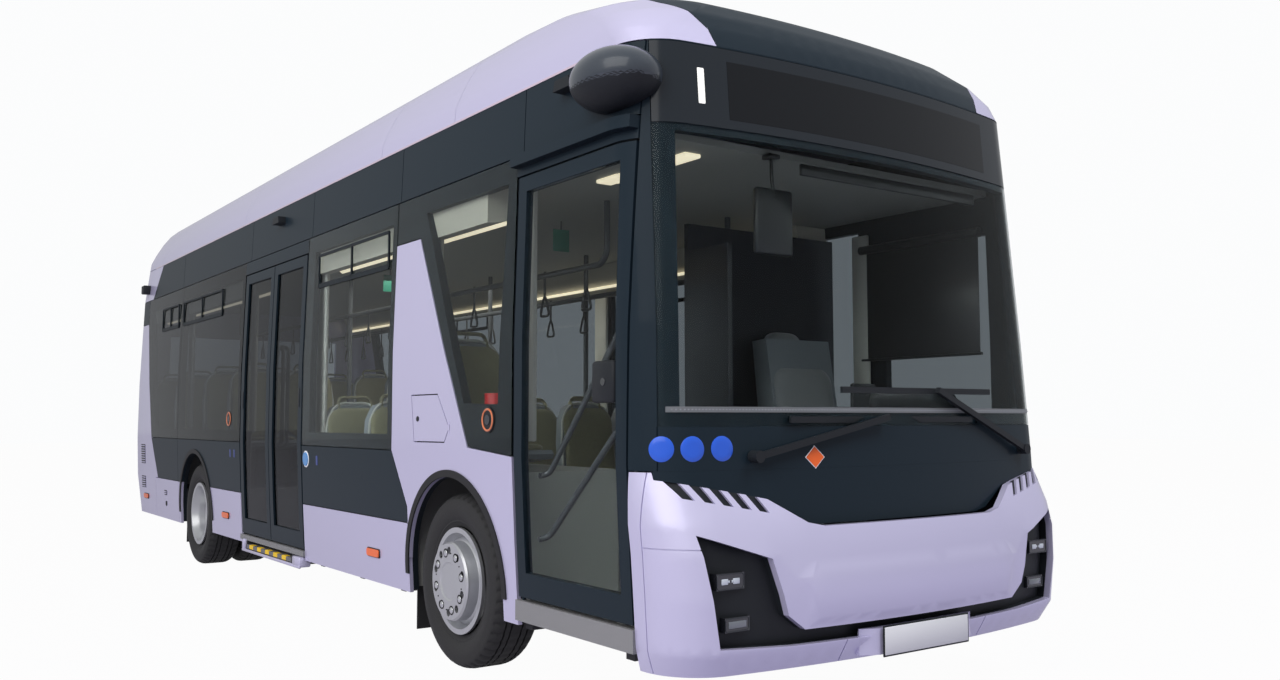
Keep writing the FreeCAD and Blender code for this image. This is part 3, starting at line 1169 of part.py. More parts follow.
for x, y, z in seat_spots:
    at = Vector(x, y, z)
    one = shell.copy()
    one.translate(at)
    on_box = z == box_seat
    if not on_box:
        one = one.fuse(slab(x + 60, x + 120, y + 180, y + 240, z + size.seat_gap, z + 300)).removeSplitter()
    elif abs(y + seat_width / 2) < size.wheel_box_inner:
        ground = size.platform_top if x < size.platform_x else size.floor_top
        one = one.fuse(slab(x + 60, x + 120, y + 180, y + 240, ground + size.seat_gap, z + 300)).removeSplitter()
    shells.append(one)
    for pad in (seat_pad, back_pad):
        cushion = pad.copy()
        cushion.translate(at)
        pads.append(cushion)
driver_side = [(0, 0), (470, 30), (470, 110), (60, 100), (-60, 820), (-170, 810), (-80, 20)]
driver_seat = prism(driver_side, 380, 860)
driver_seat.translate(Vector(3380, 0, 850))
driver_seat = driver_seat.fuse(slab(3420, 3700, 480, 760, cab_top + size.seat_gap, 870)).removeSplitter()
shaped("seats", Part.makeCompound([driver_seat] + shells))
shaped("seat_pads", Part.makeCompound(pads))

# Handrails: poles, overhead rails and the diagonal bars on the doors' insides
rail_radius = 17
poles = []
for x, y in ((1250, -560), (1250, 560), (-180, 560), (-700, -420), (430, -420), (2150, -480), (2150, 480),
             (3300, -480)):
    poles.append(Part.makeCylinder(rail_radius, ceiling_low - size.floor_top - 2 * size.seat_gap,
                                   Vector(x, y, size.floor_top + size.seat_gap)))
for side in (-1, 1):
    poles.append(tube([(2960, side * 420, ceiling_low - size.seat_gap), (2960, side * 420, 2060),
                       (-3700, side * 420, 2060), (-3700, side * 420, ceiling_low - size.seat_gap)],
                      rail_radius, 90))
rails = Part.makeCompound(poles)
shaped("handrails", rails)

# Driver's place: partition, seat, dashboard, steering wheel
box_wall = size.wheel_box_inner - size.seat_gap
box_roof = size.wheel_box_top + size.seat_gap
foot = size.floor_top + size.seat_gap
partition = prism([(25, foot), (box_wall, foot), (box_wall, box_roof), (1140, box_roof),
                   (1140, 2300), (25, 2300)], 3060, 3090, "x")
gate = slab(3060, 3420, 25, 55, size.floor_top + size.seat_gap, 2150)
shaped("driver_partition", partition.fuse(gate).removeSplitter())
dash_side = [(3980, 700), (4330, 700), (4400, 1120), (4150, 1200), (3960, 1130), (3900, 1000)]
dash = prism(dash_side, 60, 1120).common(room)
shaped("dashboard", dash)
wheel_at = Vector(3800, 620, 1190)
wheel_axis = Vector(-math.sin(math.radians(30)), 0, math.cos(math.radians(30)))
wheel = Part.makeTorus(220, 15, wheel_at, wheel_axis)
column = Part.makeCylinder(28, 330, wheel_at, -wheel_axis)
hub = Part.makeCylinder(70, 25, wheel_at - wheel_axis * 20, wheel_axis)
spokes = [bar(wheel_at - Vector(0, 215, 0), wheel_at + Vector(0, 215, 0), 40, 14)]
shaped("steering_wheel", wheel.multiFuse([column.cut(prism(dash_side, 60, 1120)), hub] + spokes))

# Camera pods in place of mirrors, and the small pods over the doors
ball_stretch = FreeCAD.Matrix()
ball_stretch.scale(225, 172, 130)
pod_ball = Part.makeSphere(1).transformGeometry(ball_stretch)


def pod(x, side):
    """A stretched ball that stands out of the side, over the front corner."""
    ball = pod_ball.copy()
    ball.translate(Vector(x, side * 1200, 2600))
    return ball.cut(outer).Solids[0]


pods = [pod(4168, -1), pod(3945, 1)]
for x, z in ((-31, 2649), (3824, 2668)):
    lens = prism([(x - 70, z - 25), (x + 70, z - 25), (x + 55, z + 22), (x - 55, z + 22)], -1245, -1150).cut(outer)
    pods += lens.Solids
shaped("camera_pods", Part.makeCompound(pods))


# Wipers: each an arm from the lower band to its blade on the glass
def on_screen(y, z, off):
    return (front_face(y, z) + off, y, z)


wipers = []
for foot, tip, start, stop in (((-790, 1085), (-80, 1238), (-610, 1228), (520, 1228)),
                               ((960, 1085), (260, 1358), (-330, 1352), (690, 1356))):
    arm = bar(on_screen(*foot, 34), on_screen(*tip, 34), 22, 26)
    blade = bar(on_screen(*start, 18), on_screen(*stop, 18), 12, 26)
    boss = Part.makeCylinder(24, 50, Vector(*on_screen(*foot, 0)), Vector(1, 0, 0))
    wipers.append(arm.fuse(blade).fuse(boss).cut(outer))
shaped("wipers", Part.makeCompound(wipers))

# Check and write every sub-part
doc.recompute()
failed = [thing.Label for thing in doc.Objects if {"Invalid", "Error"} & set(thing.State)]
for thing in nodes:
    if thing.Shape.isNull() or not thing.Shape.isValid() or not thing.Shape.Solids:
        failed.append(thing.Label)
if failed:
    raise SystemExit("not built: " + ", ".join(failed))
os.makedirs("parts", exist_ok=True)
for thing in nodes:
    thing.Shape.exportStep(f"parts/{thing.Label}.step")
print(len(nodes), "sub-parts written")
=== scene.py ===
# %% [markdown]
# # A low-floor city bus
# This lesson dresses a bus whose solids were made in CAD. The solids give every
# panel, door, wheel and seat; the cells below give them paint, glass, rubber and
# cloth, and add the thin trim that is too fine for the solids.

# %% Load the solids
import json
import math

import bmesh
import bpy
import numpy as np
from mathutils import Matrix, Vector
from mathutils.bvhtree import BVHTree


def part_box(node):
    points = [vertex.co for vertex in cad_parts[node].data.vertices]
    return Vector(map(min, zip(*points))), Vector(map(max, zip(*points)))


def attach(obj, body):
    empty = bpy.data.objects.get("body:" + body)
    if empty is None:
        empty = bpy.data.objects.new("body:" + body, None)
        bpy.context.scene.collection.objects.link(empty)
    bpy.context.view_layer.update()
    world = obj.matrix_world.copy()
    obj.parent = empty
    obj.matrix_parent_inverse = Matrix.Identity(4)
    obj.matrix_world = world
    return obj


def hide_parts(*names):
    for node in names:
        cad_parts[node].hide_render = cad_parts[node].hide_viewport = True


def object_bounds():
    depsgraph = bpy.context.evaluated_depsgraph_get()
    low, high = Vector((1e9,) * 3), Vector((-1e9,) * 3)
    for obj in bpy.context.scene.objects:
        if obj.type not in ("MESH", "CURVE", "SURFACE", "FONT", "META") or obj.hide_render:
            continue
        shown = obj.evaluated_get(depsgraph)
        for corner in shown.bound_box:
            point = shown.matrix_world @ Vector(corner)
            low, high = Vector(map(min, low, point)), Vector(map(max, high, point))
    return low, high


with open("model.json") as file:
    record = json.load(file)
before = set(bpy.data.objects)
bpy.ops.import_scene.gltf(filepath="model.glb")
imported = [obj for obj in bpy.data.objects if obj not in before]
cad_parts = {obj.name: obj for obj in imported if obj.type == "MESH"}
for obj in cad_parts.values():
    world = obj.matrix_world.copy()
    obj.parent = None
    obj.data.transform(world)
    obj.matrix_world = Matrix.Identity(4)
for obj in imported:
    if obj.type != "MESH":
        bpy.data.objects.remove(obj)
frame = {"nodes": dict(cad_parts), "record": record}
nodes = frame["nodes"]
solid_low, solid_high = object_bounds()
print(len(nodes), "solids, from", tuple(solid_low), "to", tuple(solid_high))

# %% [markdown]
# ## Helpers for surfaces
# Each trim piece is a surface worked out as whole arrays: a grid of points, or a
# profile carried along a path. A shape is kept as two arrays, its points and its
# four-sided faces, so that many shapes can be stacked into one mesh.

# %% Grids, rings and stacks
def grid_faces(rows, columns, wrap):
    """Faces of a grid: each joins (i, j), (i, j+1), (i+1, j+1), (i+1, j); wrap closes the columns."""
    i, j = np.meshgrid(np.arange(rows - 1), np.arange(columns if wrap else columns - 1), indexing="ij")
    k = (j + 1) % columns
    here, below = i * columns, (i + 1) * columns
    return np.stack([here + j, here + k, below + k, below + j], -1).reshape(-1, 4)


def skinned(rings):
    """Rings (rows, columns, 3) joined in order; each end is closed by a fan to its middle point."""
    rows, columns = rings.shape[:2]
    points = rings.reshape(-1, 3)
    j = np.arange(columns)
    k = (j + 1) % columns
    first = np.full(columns, len(points))
    last = (rows - 1) * columns
    start = np.stack([first, k, j, j], -1)
    end = np.stack([first + 1, last + j, last + k, last + k], -1)
    points = np.concatenate([points, rings[0].mean(0)[None], rings[-1].mean(0)[None]])
    return points, np.concatenate([grid_faces(rows, columns, True), start, end])


def stacked(shapes):
    """Many shapes as one: points end to end, each shape's faces counted on from the last."""
    starts = np.cumsum([0] + [len(points) for points, _ in shapes[:-1]])
    return (np.concatenate([points for points, _ in shapes]),
            np.concatenate([faces + start for (_, faces), start in zip(shapes, starts)]))


def moved(shape, offset):
    """A shape with an offset added to each point."""
    return shape[0] + np.asarray(offset, float), shape[1]


def mirrored(shape):
    """A shape with y turned to -y, and its faces turned round so that they still point outwards."""
    return shape[0] * (1, -1, 1), shape[1][:, ::-1]


def both_sides(shape):
    """A shape and its mirror image."""
    return stacked([shape, mirrored(shape)])


def rounded_block(low, high, radius=0.004, turns=12):
    """A box with round edges: r*n + (half - r)*sign(n) over the unit vectors n of a sphere."""
    low, high = np.asarray(low, float), np.asarray(high, float)
    half = (high - low) / 2
    radius = min(radius, half.min() * 0.98)
    tall = (np.arange(turns // 2) + 0.5) / (turns // 2) * math.pi - math.pi / 2
    turn = (np.arange(turns) + 0.5) / turns * 2 * math.pi
    n = np.stack([np.cos(tall)[:, None] * np.cos(turn), np.cos(tall)[:, None] * np.sin(turn),
                  np.broadcast_to(np.sin(tall)[:, None], (len(tall), turns))], -1)
    return skinned(radius * n + (half - radius) * np.sign(n) + (low + high) / 2)


def frames_along(path, up):
    """For each path point: the travel t, the side s = t x up, and n = s x t, all unit vectors."""
    path = np.asarray(path, float)
    t = np.gradient(path, axis=0)
    t /= np.linalg.norm(t, axis=1, keepdims=True)
    s = np.cross(t, np.asarray(up, float))
    s /= np.linalg.norm(s, axis=1, keepdims=True)
    return path, s, np.cross(s, t)


def carried(path, outline, up=(0, 0, 1)):
    """A closed outline (a, b) carried along a path: path + a*s + b*n."""
    path, s, n = frames_along(path, up)
    outline = np.asarray(outline, float)
    along_s, along_n = outline[None, :, :1] * s[:, None], outline[None, :, 1:] * n[:, None]
    return skinned(path[:, None] + along_s + along_n)


def circle(radius, sides):
    """The points of a circle: r*(cos a, sin a)."""
    a = np.arange(sides) / sides * 2 * math.pi
    return np.stack([radius * np.cos(a), radius * np.sin(a)], -1)


def bar(path, radius, up=(0, 0, 1), sides=12):
    """A round bar along a path."""
    return carried(path, circle(radius, sides), up)


def ribbon(path, width, thick, up=(0, 0, 1)):
    """A flat strip along a path, its width across and its thickness along up."""
    w, h = width / 2, thick / 2
    return carried(path, [(-w, -h), (w, -h), (w, h), (-w, h)], up)


def bent(corners, radius, steps=6):
    """A polyline with each inner corner turned into the curve (1-u)^2 p + 2u(1-u) c + u^2 q.
    A point that repeats the one before it is dropped, because the travel there would be nought."""
    corners = [np.asarray(c, float) for c in corners]
    u = np.linspace(0, 1, steps)[:, None]
    pieces = [corners[0][None]]
    for before, corner, after in zip(corners, corners[1:], corners[2:]):
        p = corner + (before - corner) * min(1, radius / np.linalg.norm(before - corner))
        q = corner + (after - corner) * min(1, radius / np.linalg.norm(after - corner))
        pieces.append((1 - u) ** 2 * p + 2 * u * (1 - u) * corner + u ** 2 * q)
    pieces.append(corners[-1][None])
    line = np.concatenate(pieces)
    apart = np.append(True, np.linalg.norm(np.diff(line, axis=0), axis=1) > 1e-6)
    return line[apart]


def closed_loop(rings):
    """Rings (rows, columns, 3) whose last joins the first again, with both ways round closed."""
    loop = np.concatenate([rings, rings[:1]])
    return loop.reshape(-1, 3), grid_faces(*loop.shape[:2], True)


def spun(profile, centre, sides=48):
    """A profile (radius r, y) spun round the y axis: centre + (r cos a, y, r sin a)."""
    profile = np.asarray(profile, float)
    a = np.arange(sides) / sides * 2 * math.pi
    r, along = profile[:, 0], profile[:, 1]
    x, z = r[None] * np.cos(a)[:, None], r[None] * np.sin(a)[:, None]
    rings = np.stack([x, np.broadcast_to(along[None], x.shape), z], -1)
    return closed_loop(rings + np.asarray(centre, float))


def disc(centre, radius, thick, sides=20):
    """A coin across y: a small outline spun round, closed at its middle."""
    h, inner = thick / 2, radius * 0.9
    outline = [(0, -h), (inner, -h), (radius, -h * 0.4), (radius, h * 0.4), (inner, h), (0, h)]
    return spun(outline, centre, sides)


# %% [markdown]
# A stack becomes a Blender object that rides on one of the bus's moving bodies.
# Doubled points are merged and the normals worked out again, because a ring that
# closes on itself has its seam twice.

# %% From arrays to a piece of the bus
def piece(name, shapes, paint, body="root"):
    """A mesh object from stacked shapes, riding on a body, shaded smooth but for edges over 35 degrees.
    A face that ends in a point repeats it in the array, and dict.fromkeys drops the repeat."""
    points, faces = stacked(shapes)
    mesh = bpy.data.meshes.new(name)
    mesh.from_pydata(points.tolist(), [], [list(dict.fromkeys(f)) for f in faces.tolist()])
    work = bmesh.new()
    work.from_mesh(mesh)
    bmesh.ops.remove_doubles(work, verts=work.verts, dist=1e-5)
    bmesh.ops.recalc_face_normals(work, faces=work.faces)
    work.to_mesh(mesh)
    work.free()
    thing = bpy.data.objects.new(name, mesh)
    bpy.context.collection.objects.link(thing)
    mesh.shade_smooth()
    mesh.set_sharp_from_angle(angle=math.radians(35))
    mesh.materials.append(paint)
    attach(thing, body)
    print(name, len(mesh.polygons), "faces on", body)
    return thing


# %% [markdown]
# ## Paints and finishes
# Every finish is one Principled shader with its constants typed into the sockets.
# The bus wears a pearl lilac over metal flakes, under a clear coat; its window band
# and doors are a deep blue-grey gloss. Small specks or grain come from noise on
# Object coordinates, so they stay with the panel.

# %% One shader a finish
def set_sockets(node, values):
    """Values for a shader node's input sockets, each given by name, with _ for a space."""
    for socket, value in values.items():
        node.inputs[socket.replace("_", " ")].default_value = value


def add(tree, kind, **values):
    """A new shader node of a kind, with values for some of its inputs."""
    node = tree.nodes.new("ShaderNode" + kind)
    set_sockets(node, values)
    return node


def wire(tree, source, output, target, socket):
    """A link from a node's output to another node's input, both by name."""
    tree.links.new(source.outputs[output], target.inputs[socket])


def finish(name, colour, metallic=0.0, rough=0.5, **sockets):
    """A Principled material: colour, metal and roughness, then any further sockets by name."""
    material = bpy.data.materials.new(name)
    material.use_nodes = True
    set_sockets(material.node_tree.nodes["Principled BSDF"],
                {"Base Color": (*colour, 1), "Metallic": metallic, "Roughness": rough, **sockets})
    return material


def object_noise(tree, scale, detail):
    """A noise texture that reads Object coordinates; its value is the output Fac."""
    place, noise = add(tree, "TexCoord"), add(tree, "TexNoise", Scale=scale, Detail=detail)
    wire(tree, place, "Object", noise, "Vector")
    return noise


def grain(material, scale, depth, low=None, high=None):
    """Noise on Object coordinates: a bump of the given depth, and roughness between low and high."""
    tree = material.node_tree
    shader = tree.nodes["Principled BSDF"]
    noise = object_noise(tree, scale, 2)
    if depth:
        bump = add(tree, "Bump", Strength=0.5, Distance=depth)
        wire(tree, noise, "Fac", bump, "Height")
        wire(tree, bump, "Normal", shader, "Normal")
    if low is not None:
        spread = add(tree, "MapRange", To_Min=low, To_Max=high)
        wire(tree, noise, "Fac", spread, "Value")
        wire(tree, spread, "Result", shader, "Roughness")
    return material


def speckled(material, scale, colours):
    """Colour from noise on Object coordinates, run through a ramp of two stops (place, colour)."""
    tree = material.node_tree
    noise, ramp = object_noise(tree, scale, 3), add(tree, "ValToRGB")
    for stop, (at, colour) in zip(ramp.color_ramp.elements, colours):
        stop.position = at
        stop.color = (*colour, 1)
    wire(tree, noise, "Fac", ramp, "Fac")
    wire(tree, ramp, "Color", tree.nodes["Principled BSDF"], "Base Color")
    return material


pearl = grain(finish("pearl_lilac", (0.600, 0.592, 0.745), 0.40, 0.36, Coat_Weight=0.8, Coat_Roughness=0.05,
                     Coat_IOR=1.5, Coat_Tint=(0.94, 0.91, 1.0, 1)), 900, 0.0, 0.30, 0.46)
window_band = finish("blue_grey_gloss", (0.0085, 0.0160, 0.0235), 0.0, 0.45, Specular_IOR_Level=0.12,
                     Coat_Weight=0.12, Coat_Roughness=0.06)
frame_black = finish("satin_black", (0.008, 0.012, 0.016), 0.0, 0.5, Specular_IOR_Level=0.2)
glass = finish("safety_glass", (0.80, 0.85, 0.85), 0.0, 0.0, Transmission_Weight=1.0, IOR=1.12)
tinted_glass = finish("tinted_glass", (0.22, 0.24, 0.26), 0.0, 0.0, Transmission_Weight=1.0, IOR=1.12)
display_gloss = finish("display_gloss", (0.010, 0.014, 0.019), 0.0, 0.16, Specular_IOR_Level=0.4)
display_field = finish("display_field", (0.004, 0.005, 0.007), 0.0, 0.10, Specular_IOR_Level=0.3)
pod_gloss = finish("pod_gloss", (0.030, 0.038, 0.050), 0.1, 0.30, Coat_Weight=0.6, Coat_Roughness=0.08)
black_plastic = grain(finish("grained_black", (0.011, 0.013, 0.016), 0.0, 0.5, Specular_IOR_Level=0.3),
                      600, 0.0003)
smoked = finish("smoked_panel", (0.03, 0.033, 0.04), 0.0, 0.25)
lens_bright = finish("lens_bright", (0.55, 0.60, 0.66), 0.2, 0.15, Coat_Weight=1.0)
lens_grey = finish("lens_grey", (0.14, 0.155, 0.175), 0.1, 0.2, Coat_Weight=1.0)
lamp_rim = finish("lamp_rim", (0.05, 0.055, 0.062), 0.4, 0.25)
lens_dark = finish("lens_dark", (0.02, 0.022, 0.026), 0.2, 0.1, Coat_Weight=1.0)
lamp_red = finish("red_lens", (0.45, 0.01, 0.012), 0.0, 0.12, Coat_Weight=1.0, Coat_Roughness=0.02)
amber = finish("amber_lens", (0.80, 0.13, 0.012), 0.0, 0.3, Coat_Weight=0.3, Coat_Roughness=0.05)
lining = finish("cream_lining", (0.27, 0.275, 0.255), 0.0, 0.6)
vinyl = speckled(finish("speckled_vinyl", (0.2, 0.2, 0.21), 0.0, 0.6), 420,
                 [(0.42, (0.10, 0.10, 0.11)), (0.62, (0.34, 0.34, 0.35))])
chassis_black = grain(finish("chassis_black", (0.03, 0.03, 0.034), 0.3, 0.55), 60, 0.0006)
casting = grain(finish("rough_casting", (0.05, 0.05, 0.055), 0.4, 0.6), 90, 0.0012)
alloy = grain(finish("cast_alloy", (0.42, 0.43, 0.45), 0.9, 0.45), 120, 0.0008)
grey_coat = finish("grey_coat", (0.16, 0.17, 0.18), 0.2, 0.45)
tread_plate = grain(finish("anti_slip_alloy", (0.22, 0.22, 0.23), 0.6, 0.55), 260, 0.0008)
rubber = grain(finish("black_rubber", (0.012, 0.012, 0.013), 0.0, 0.62), 200, 0.0003)
tyre_rubber = grain(finish("tyre_rubber", (0.021, 0.021, 0.022), 0.0, 0.7), 130, 0.0004, 0.6, 0.82)
seat_shell = grain(finish("grey_seat_shell", (0.17, 0.19, 0.21), 0.0, 0.42), 500, 0.0002)
plush = finish("olive_plush", (0.20, 0.19, 0.11), 0.0, 0.9, Sheen_Weight=0.4, Sheen_Roughness=0.4)
plush = grain(speckled(plush, 300, [(0.40, (0.145, 0.135, 0.075)), (0.60, (0.25, 0.24, 0.14))]), 700, 0.0012)
rail_coat = finish("dark_grey_rail", (0.055, 0.06, 0.066), 0.1, 0.35)
wheel_silver = grain(finish("wheel_silver", (0.60, 0.61, 0.63), 0.85, 0.3), 300, 0.0, 0.24, 0.38)
print(len(bpy.data.materials), "finishes")

# %% [markdown]
# The solids come in as loose triangles. Their shapes stay as they are, but light
# should run smoothly over the curved roof and bumper, so each triangle's corners get
# a normal taken from a merged copy, kept sharp where two faces meet at an edge.

# %% Dress the solids
dress = {
    "pearl_paint": pearl, "dark_paint": window_band, "frame_black": frame_black, "clear_glass": glass,
    "black_plastic": black_plastic, "dark_panel": smoked, "lamp_plastic": lens_dark, "lamp_red": lamp_red,
    "lining_plastic": lining, "floor_vinyl": vinyl, "frame_steel": chassis_black, "cast_steel": casting,
    "motor_alloy": alloy, "battery_steel": grey_coat, "ramp_alloy": tread_plate, "rubber": rubber,
    "seat_plastic": seat_shell, "seat_fabric": plush, "rail_steel": rail_coat, "tyre": tyre_rubber,
    "wheel_steel": wheel_silver,
}
slot_of = {row["node"]: row["material_slot"] for row in frame["record"]["subparts"]}


def triangles_of(node):
    """A solid's points (n, 3) and the three point numbers of each of its triangles, as arrays."""
    mesh = nodes[node].data
    points = np.empty(len(mesh.vertices) * 3)
    mesh.vertices.foreach_get("co", points)
    corners = np.empty(len(mesh.loops), int)
    mesh.loops.foreach_get("vertex_index", corners)
    return points.reshape(-1, 3), corners.reshape(-1, 3)


def soften(node):
    """Corner normals for loose triangles, read from a copy whose equal points are one.
    Where two faces turn by more than 28 degrees, the edge stays sharp."""
    mesh = nodes[node].data
    points, corners = triangles_of(node)
    unique, back = np.unique(np.round(points, 5), axis=0, return_inverse=True)
    merged = bpy.data.meshes.new("merged")
    merged.from_pydata(unique.tolist(), [], back.reshape(-1)[corners].tolist())
    merged.shade_smooth()
    merged.set_sharp_from_angle(angle=math.radians(28))
    normals = np.empty(len(merged.loops) * 3, np.float32)
    merged.corner_normals.foreach_get("vector", normals)
    mesh.shade_smooth()
    mesh.normals_split_custom_set(normals.reshape(-1, 3).tolist())
    bpy.data.meshes.remove(merged)


for node, thing in nodes.items():
    thing.data.materials.clear()
    thing.data.materials.append(dress[slot_of[node]])
    soften(node)
nodes["display_glass"].data.materials[0] = display_gloss
print("dressed", len(nodes), "solids")

# %% [markdown]
# Behind the middle door the windows are tinted, and the camera pods are glossy above
# and matt below. So some solids wear two finishes: their faces are picked by where
# the centre lies and which way the face looks.

# %% Second finishes
def second_finish(node, paint, chosen):
    """A second material on the faces of a node whose centre and normal the function chosen picks."""
    mesh = nodes[node].data
    centre, normal = np.empty(len(mesh.polygons) * 3), np.empty(len(mesh.polygons) * 3)
    mesh.polygons.foreach_get("center", centre)
    mesh.polygons.foreach_get("normal", normal)
    picked = chosen(centre.reshape(-1, 3), normal.reshape(-1, 3))
    mesh.materials.append(paint)
    mesh.polygons.foreach_set("material_index", picked.astype(np.int32))
    print(node, int(picked.sum()), "faces of", len(picked), "in", paint.name)


second_finish("side_glass_right", tinted_glass, lambda centre, normal: centre[:, 0] < 0.6)
second_finish("camera_pods", pod_gloss,
              lambda centre, normal: (normal[:, 2] > -0.35) & (centre[:, 0] > 3.9))
for node in ("side_glass_left", "mid_door_front_glass", "mid_door_rear_glass", "rear_glass"):
    nodes[node].data.materials[0] = tinted_glass

# %% [markdown]
# ## Finding the skin
# Badges, lamps and rubber strips lie on curved panels. A few rays are sent to the
# solids, a smooth surface a + b*u + c*v + d*u*u + e*u*v + f*v*v is fitted through
# the places they meet, and every point of the trim is then worked out from it.

# %% Rays to the solids, and patches that lie on them
def tree_of(*names):
    """A search tree over the triangles of named solids."""
    points, faces = stacked([triangles_of(name) for name in names])
    return BVHTree.FromPolygons(points.tolist(), faces.tolist())


outer_nodes = [name for name in nodes if name.split("_")[0] in
               ("skirts", "waist", "cant", "front", "windshield", "display", "hood", "rear", "roof", "side",
                "mid", "charge") and name not in ("front_axle", "rear_axle", "display_board")]
outside = tree_of(*outer_nodes)
# Each side: where its rays start, which way they run, and the way out of the bus.
views = {"front": ((6, 0, 0), (-1, 0, 0), 1), "right": ((0, -3, 0), (0, 1, 0), -1),
         "left": ((0, 3, 0), (0, -1, 0), 1)}
sunk, edge = 0.002, 0.001


def front_spot(tree, y, z):
    """Where a ray that runs back along x at (y, z) meets the solids of a tree."""
    return tree.ray_cast(Vector((6, float(y), float(z))), Vector((-1, 0, 0)))[0]


def quadratic(u, v):
    """The six terms 1, u, v, u*u, u*v, v*v."""
    return np.stack([np.ones_like(u), u, v, u * u, u * v, v * v], -1)


def fitted_depth(outline, reach):
    """The six factors of the least-squares fit to 5 by 5 depths, reach(u, v), over the outline's box."""
    (low_u, low_v), (high_u, high_v) = outline.min(0), outline.max(0)
    field = [(u, v) for u in np.linspace(low_u, high_u, 5) for v in np.linspace(low_v, high_v, 5)]
    found = [(u, v, reach(float(u), float(v))) for u, v in field]
    u, v, d = np.array([row for row in found if row[2] is not None], float).T
    return np.linalg.lstsq(quadratic(u, v), d, rcond=None)[0]


def on_side(side, u, v, d):
    """(u, v) and a depth d as x, y, z: the front's u is y, a side's u is x, and v is always z."""
    return (d, u, v) if side == "front" else (u, d, v)


def plate(rows):
    """Rings from a plate's middle to its sunk edge, joined."""
    rows = np.stack(rows)
    return rows.reshape(-1, 3), grid_faces(*rows.shape[:2], True)


def patch(side, outline, proud=0.002):
    """A thin plate over a closed outline (u, v): rings at 0, 1/2 and 1 of the way out, then down
    into the skin. Its depth is the fitted one plus how proud the ring stands."""
    start, along, out = views[side]
    outline = np.asarray(outline, float)
    middle = outline.mean(0)
    reach = np.linalg.norm(outline - middle, axis=1, keepdims=True)

    def depth(u, v):
        spot = outside.ray_cast(Vector(on_side(side, u, v, sum(start))), Vector(along))[0]
        return spot and spot[0 if side == "front" else 1]

    factors = fitted_depth(outline, depth)
    rows = []
    for share, inset, lift in ((0, 0, proud), (0.5, 0, proud), (1, edge, proud), (1, 0, proud - edge),
                               (1, 0, -sunk)):
        u, v = (middle + (outline - middle) * (share - inset / reach)).T
        rows.append(np.stack(on_side(side, u, v, quadratic(u, v) @ factors + out * lift), -1))
    return plate(rows)


def patch_facing(centre, out, outline, proud):
    """A patch for a corner: rays run along -out to a field (u across, v up) round the centre."""
    out = Vector(out).normalized()
    across = Vector((0, 0, 1)).cross(out).normalized()
    rise = out.cross(across)
    far = 0.3

    def depth(u, v):
        spot = outside.ray_cast(Vector(centre) + across * u + rise * v + out * far, -out)
        return far - spot[3] if spot[0] else None

    factors = fitted_depth(outline, depth)
    rows = []
    for share, lift in ((0, proud), (0.5, proud), (0.98, proud), (1, proud * 0.6), (1, -sunk)):
        u, v = (outline * share).T
        d = quadratic(u, v) @ factors + lift
        rows.append(np.array(centre) + u[:, None] * across + v[:, None] * rise + d[:, None] * out)
    return plate(rows)


def round_outline(u, v, radius):
    """A circle of 40 points round (u, v)."""
    return circle(radius, 40) + (u, v)


def soft_outline(u, v, wide, tall, radius, steps=5):
    """A rectangle with round corners, each a quarter circle round its own centre."""
    a = (np.arange(4)[:, None] * 90 + np.linspace(0, 90, steps)[None]) * math.pi / 180
    corner = np.array([(1, 1), (-1, 1), (-1, -1), (1, -1)])[:, None]
    centre = corner * (wide / 2 - radius, tall / 2 - radius)
    return (centre + radius * np.stack([np.cos(a), np.sin(a)], -1)).reshape(-1, 2) + (u, v)


def filled(corners):
    """A polygon whose sides are each divided in eight, so that a patch over it can bend."""
    corners = np.asarray(corners, float)
    t = (np.arange(8) / 8)[None, :, None]
    return (corners[:, None] * (1 - t) + np.roll(corners, -1, 0)[:, None] * t).reshape(-1, 2)


print("search tree over", len(outer_nodes), "solids")

# %% [markdown]
# ## The front
# Round blue signs and an orange diamond are thin films on the panels, so each one is a
# patch that follows the skin and stands a millimetre or two proud of it.

# %% Signs of the front
sign_blue = finish("sign_blue", (0.008, 0.085, 0.55), 0.0, 0.3, Coat_Weight=0.6)
sign_rim = finish("sign_rim", (0.75, 0.77, 0.80), 0.0, 0.35)
sign_orange = finish("sign_orange", (0.80, 0.13, 0.02), 0.0, 0.35)
white_strip = finish("white_strip", (0.9, 0.9, 0.85), 0.0, 0.35, Emission_Color=(1, 0.98, 0.9, 1),
                     Emission_Strength=0.25)
plate_white = finish("plate_white", (0.66, 0.67, 0.69), 0.1, 0.35)

sign_places = [(4.412, -1.157, 0.74, -0.67), (4.471, -1.052, 0.95, -0.30), (4.494, -0.925, 0.985, -0.17)]
piece("sign_discs", [patch_facing((x, y, 1.117), (out_x, out_y, 0.05), round_outline(0, 0, 0.049), 0.0016)
                     for x, y, out_x, out_y in sign_places], sign_blue)
diamond_rim = filled([(-0.430, 1.077), (-0.481, 1.124), (-0.532, 1.077), (-0.481, 1.030)])
diamond_face = filled([(-0.434, 1.077), (-0.481, 1.120), (-0.528, 1.077), (-0.481, 1.034)])
piece("warning_rim", [patch("front", diamond_rim, 0.0012)], sign_rim)
piece("warning_diamond", [patch("front", diamond_face, 0.0022)], sign_orange)

# %% [markdown]
# The line display is a dark pane across the whole front. Its field is one thin sheet:
# a smooth surface, of the sixth degree across the bus and the second up, is fitted
# to rays on the pane, so that the sheet follows the curve without a ripple.

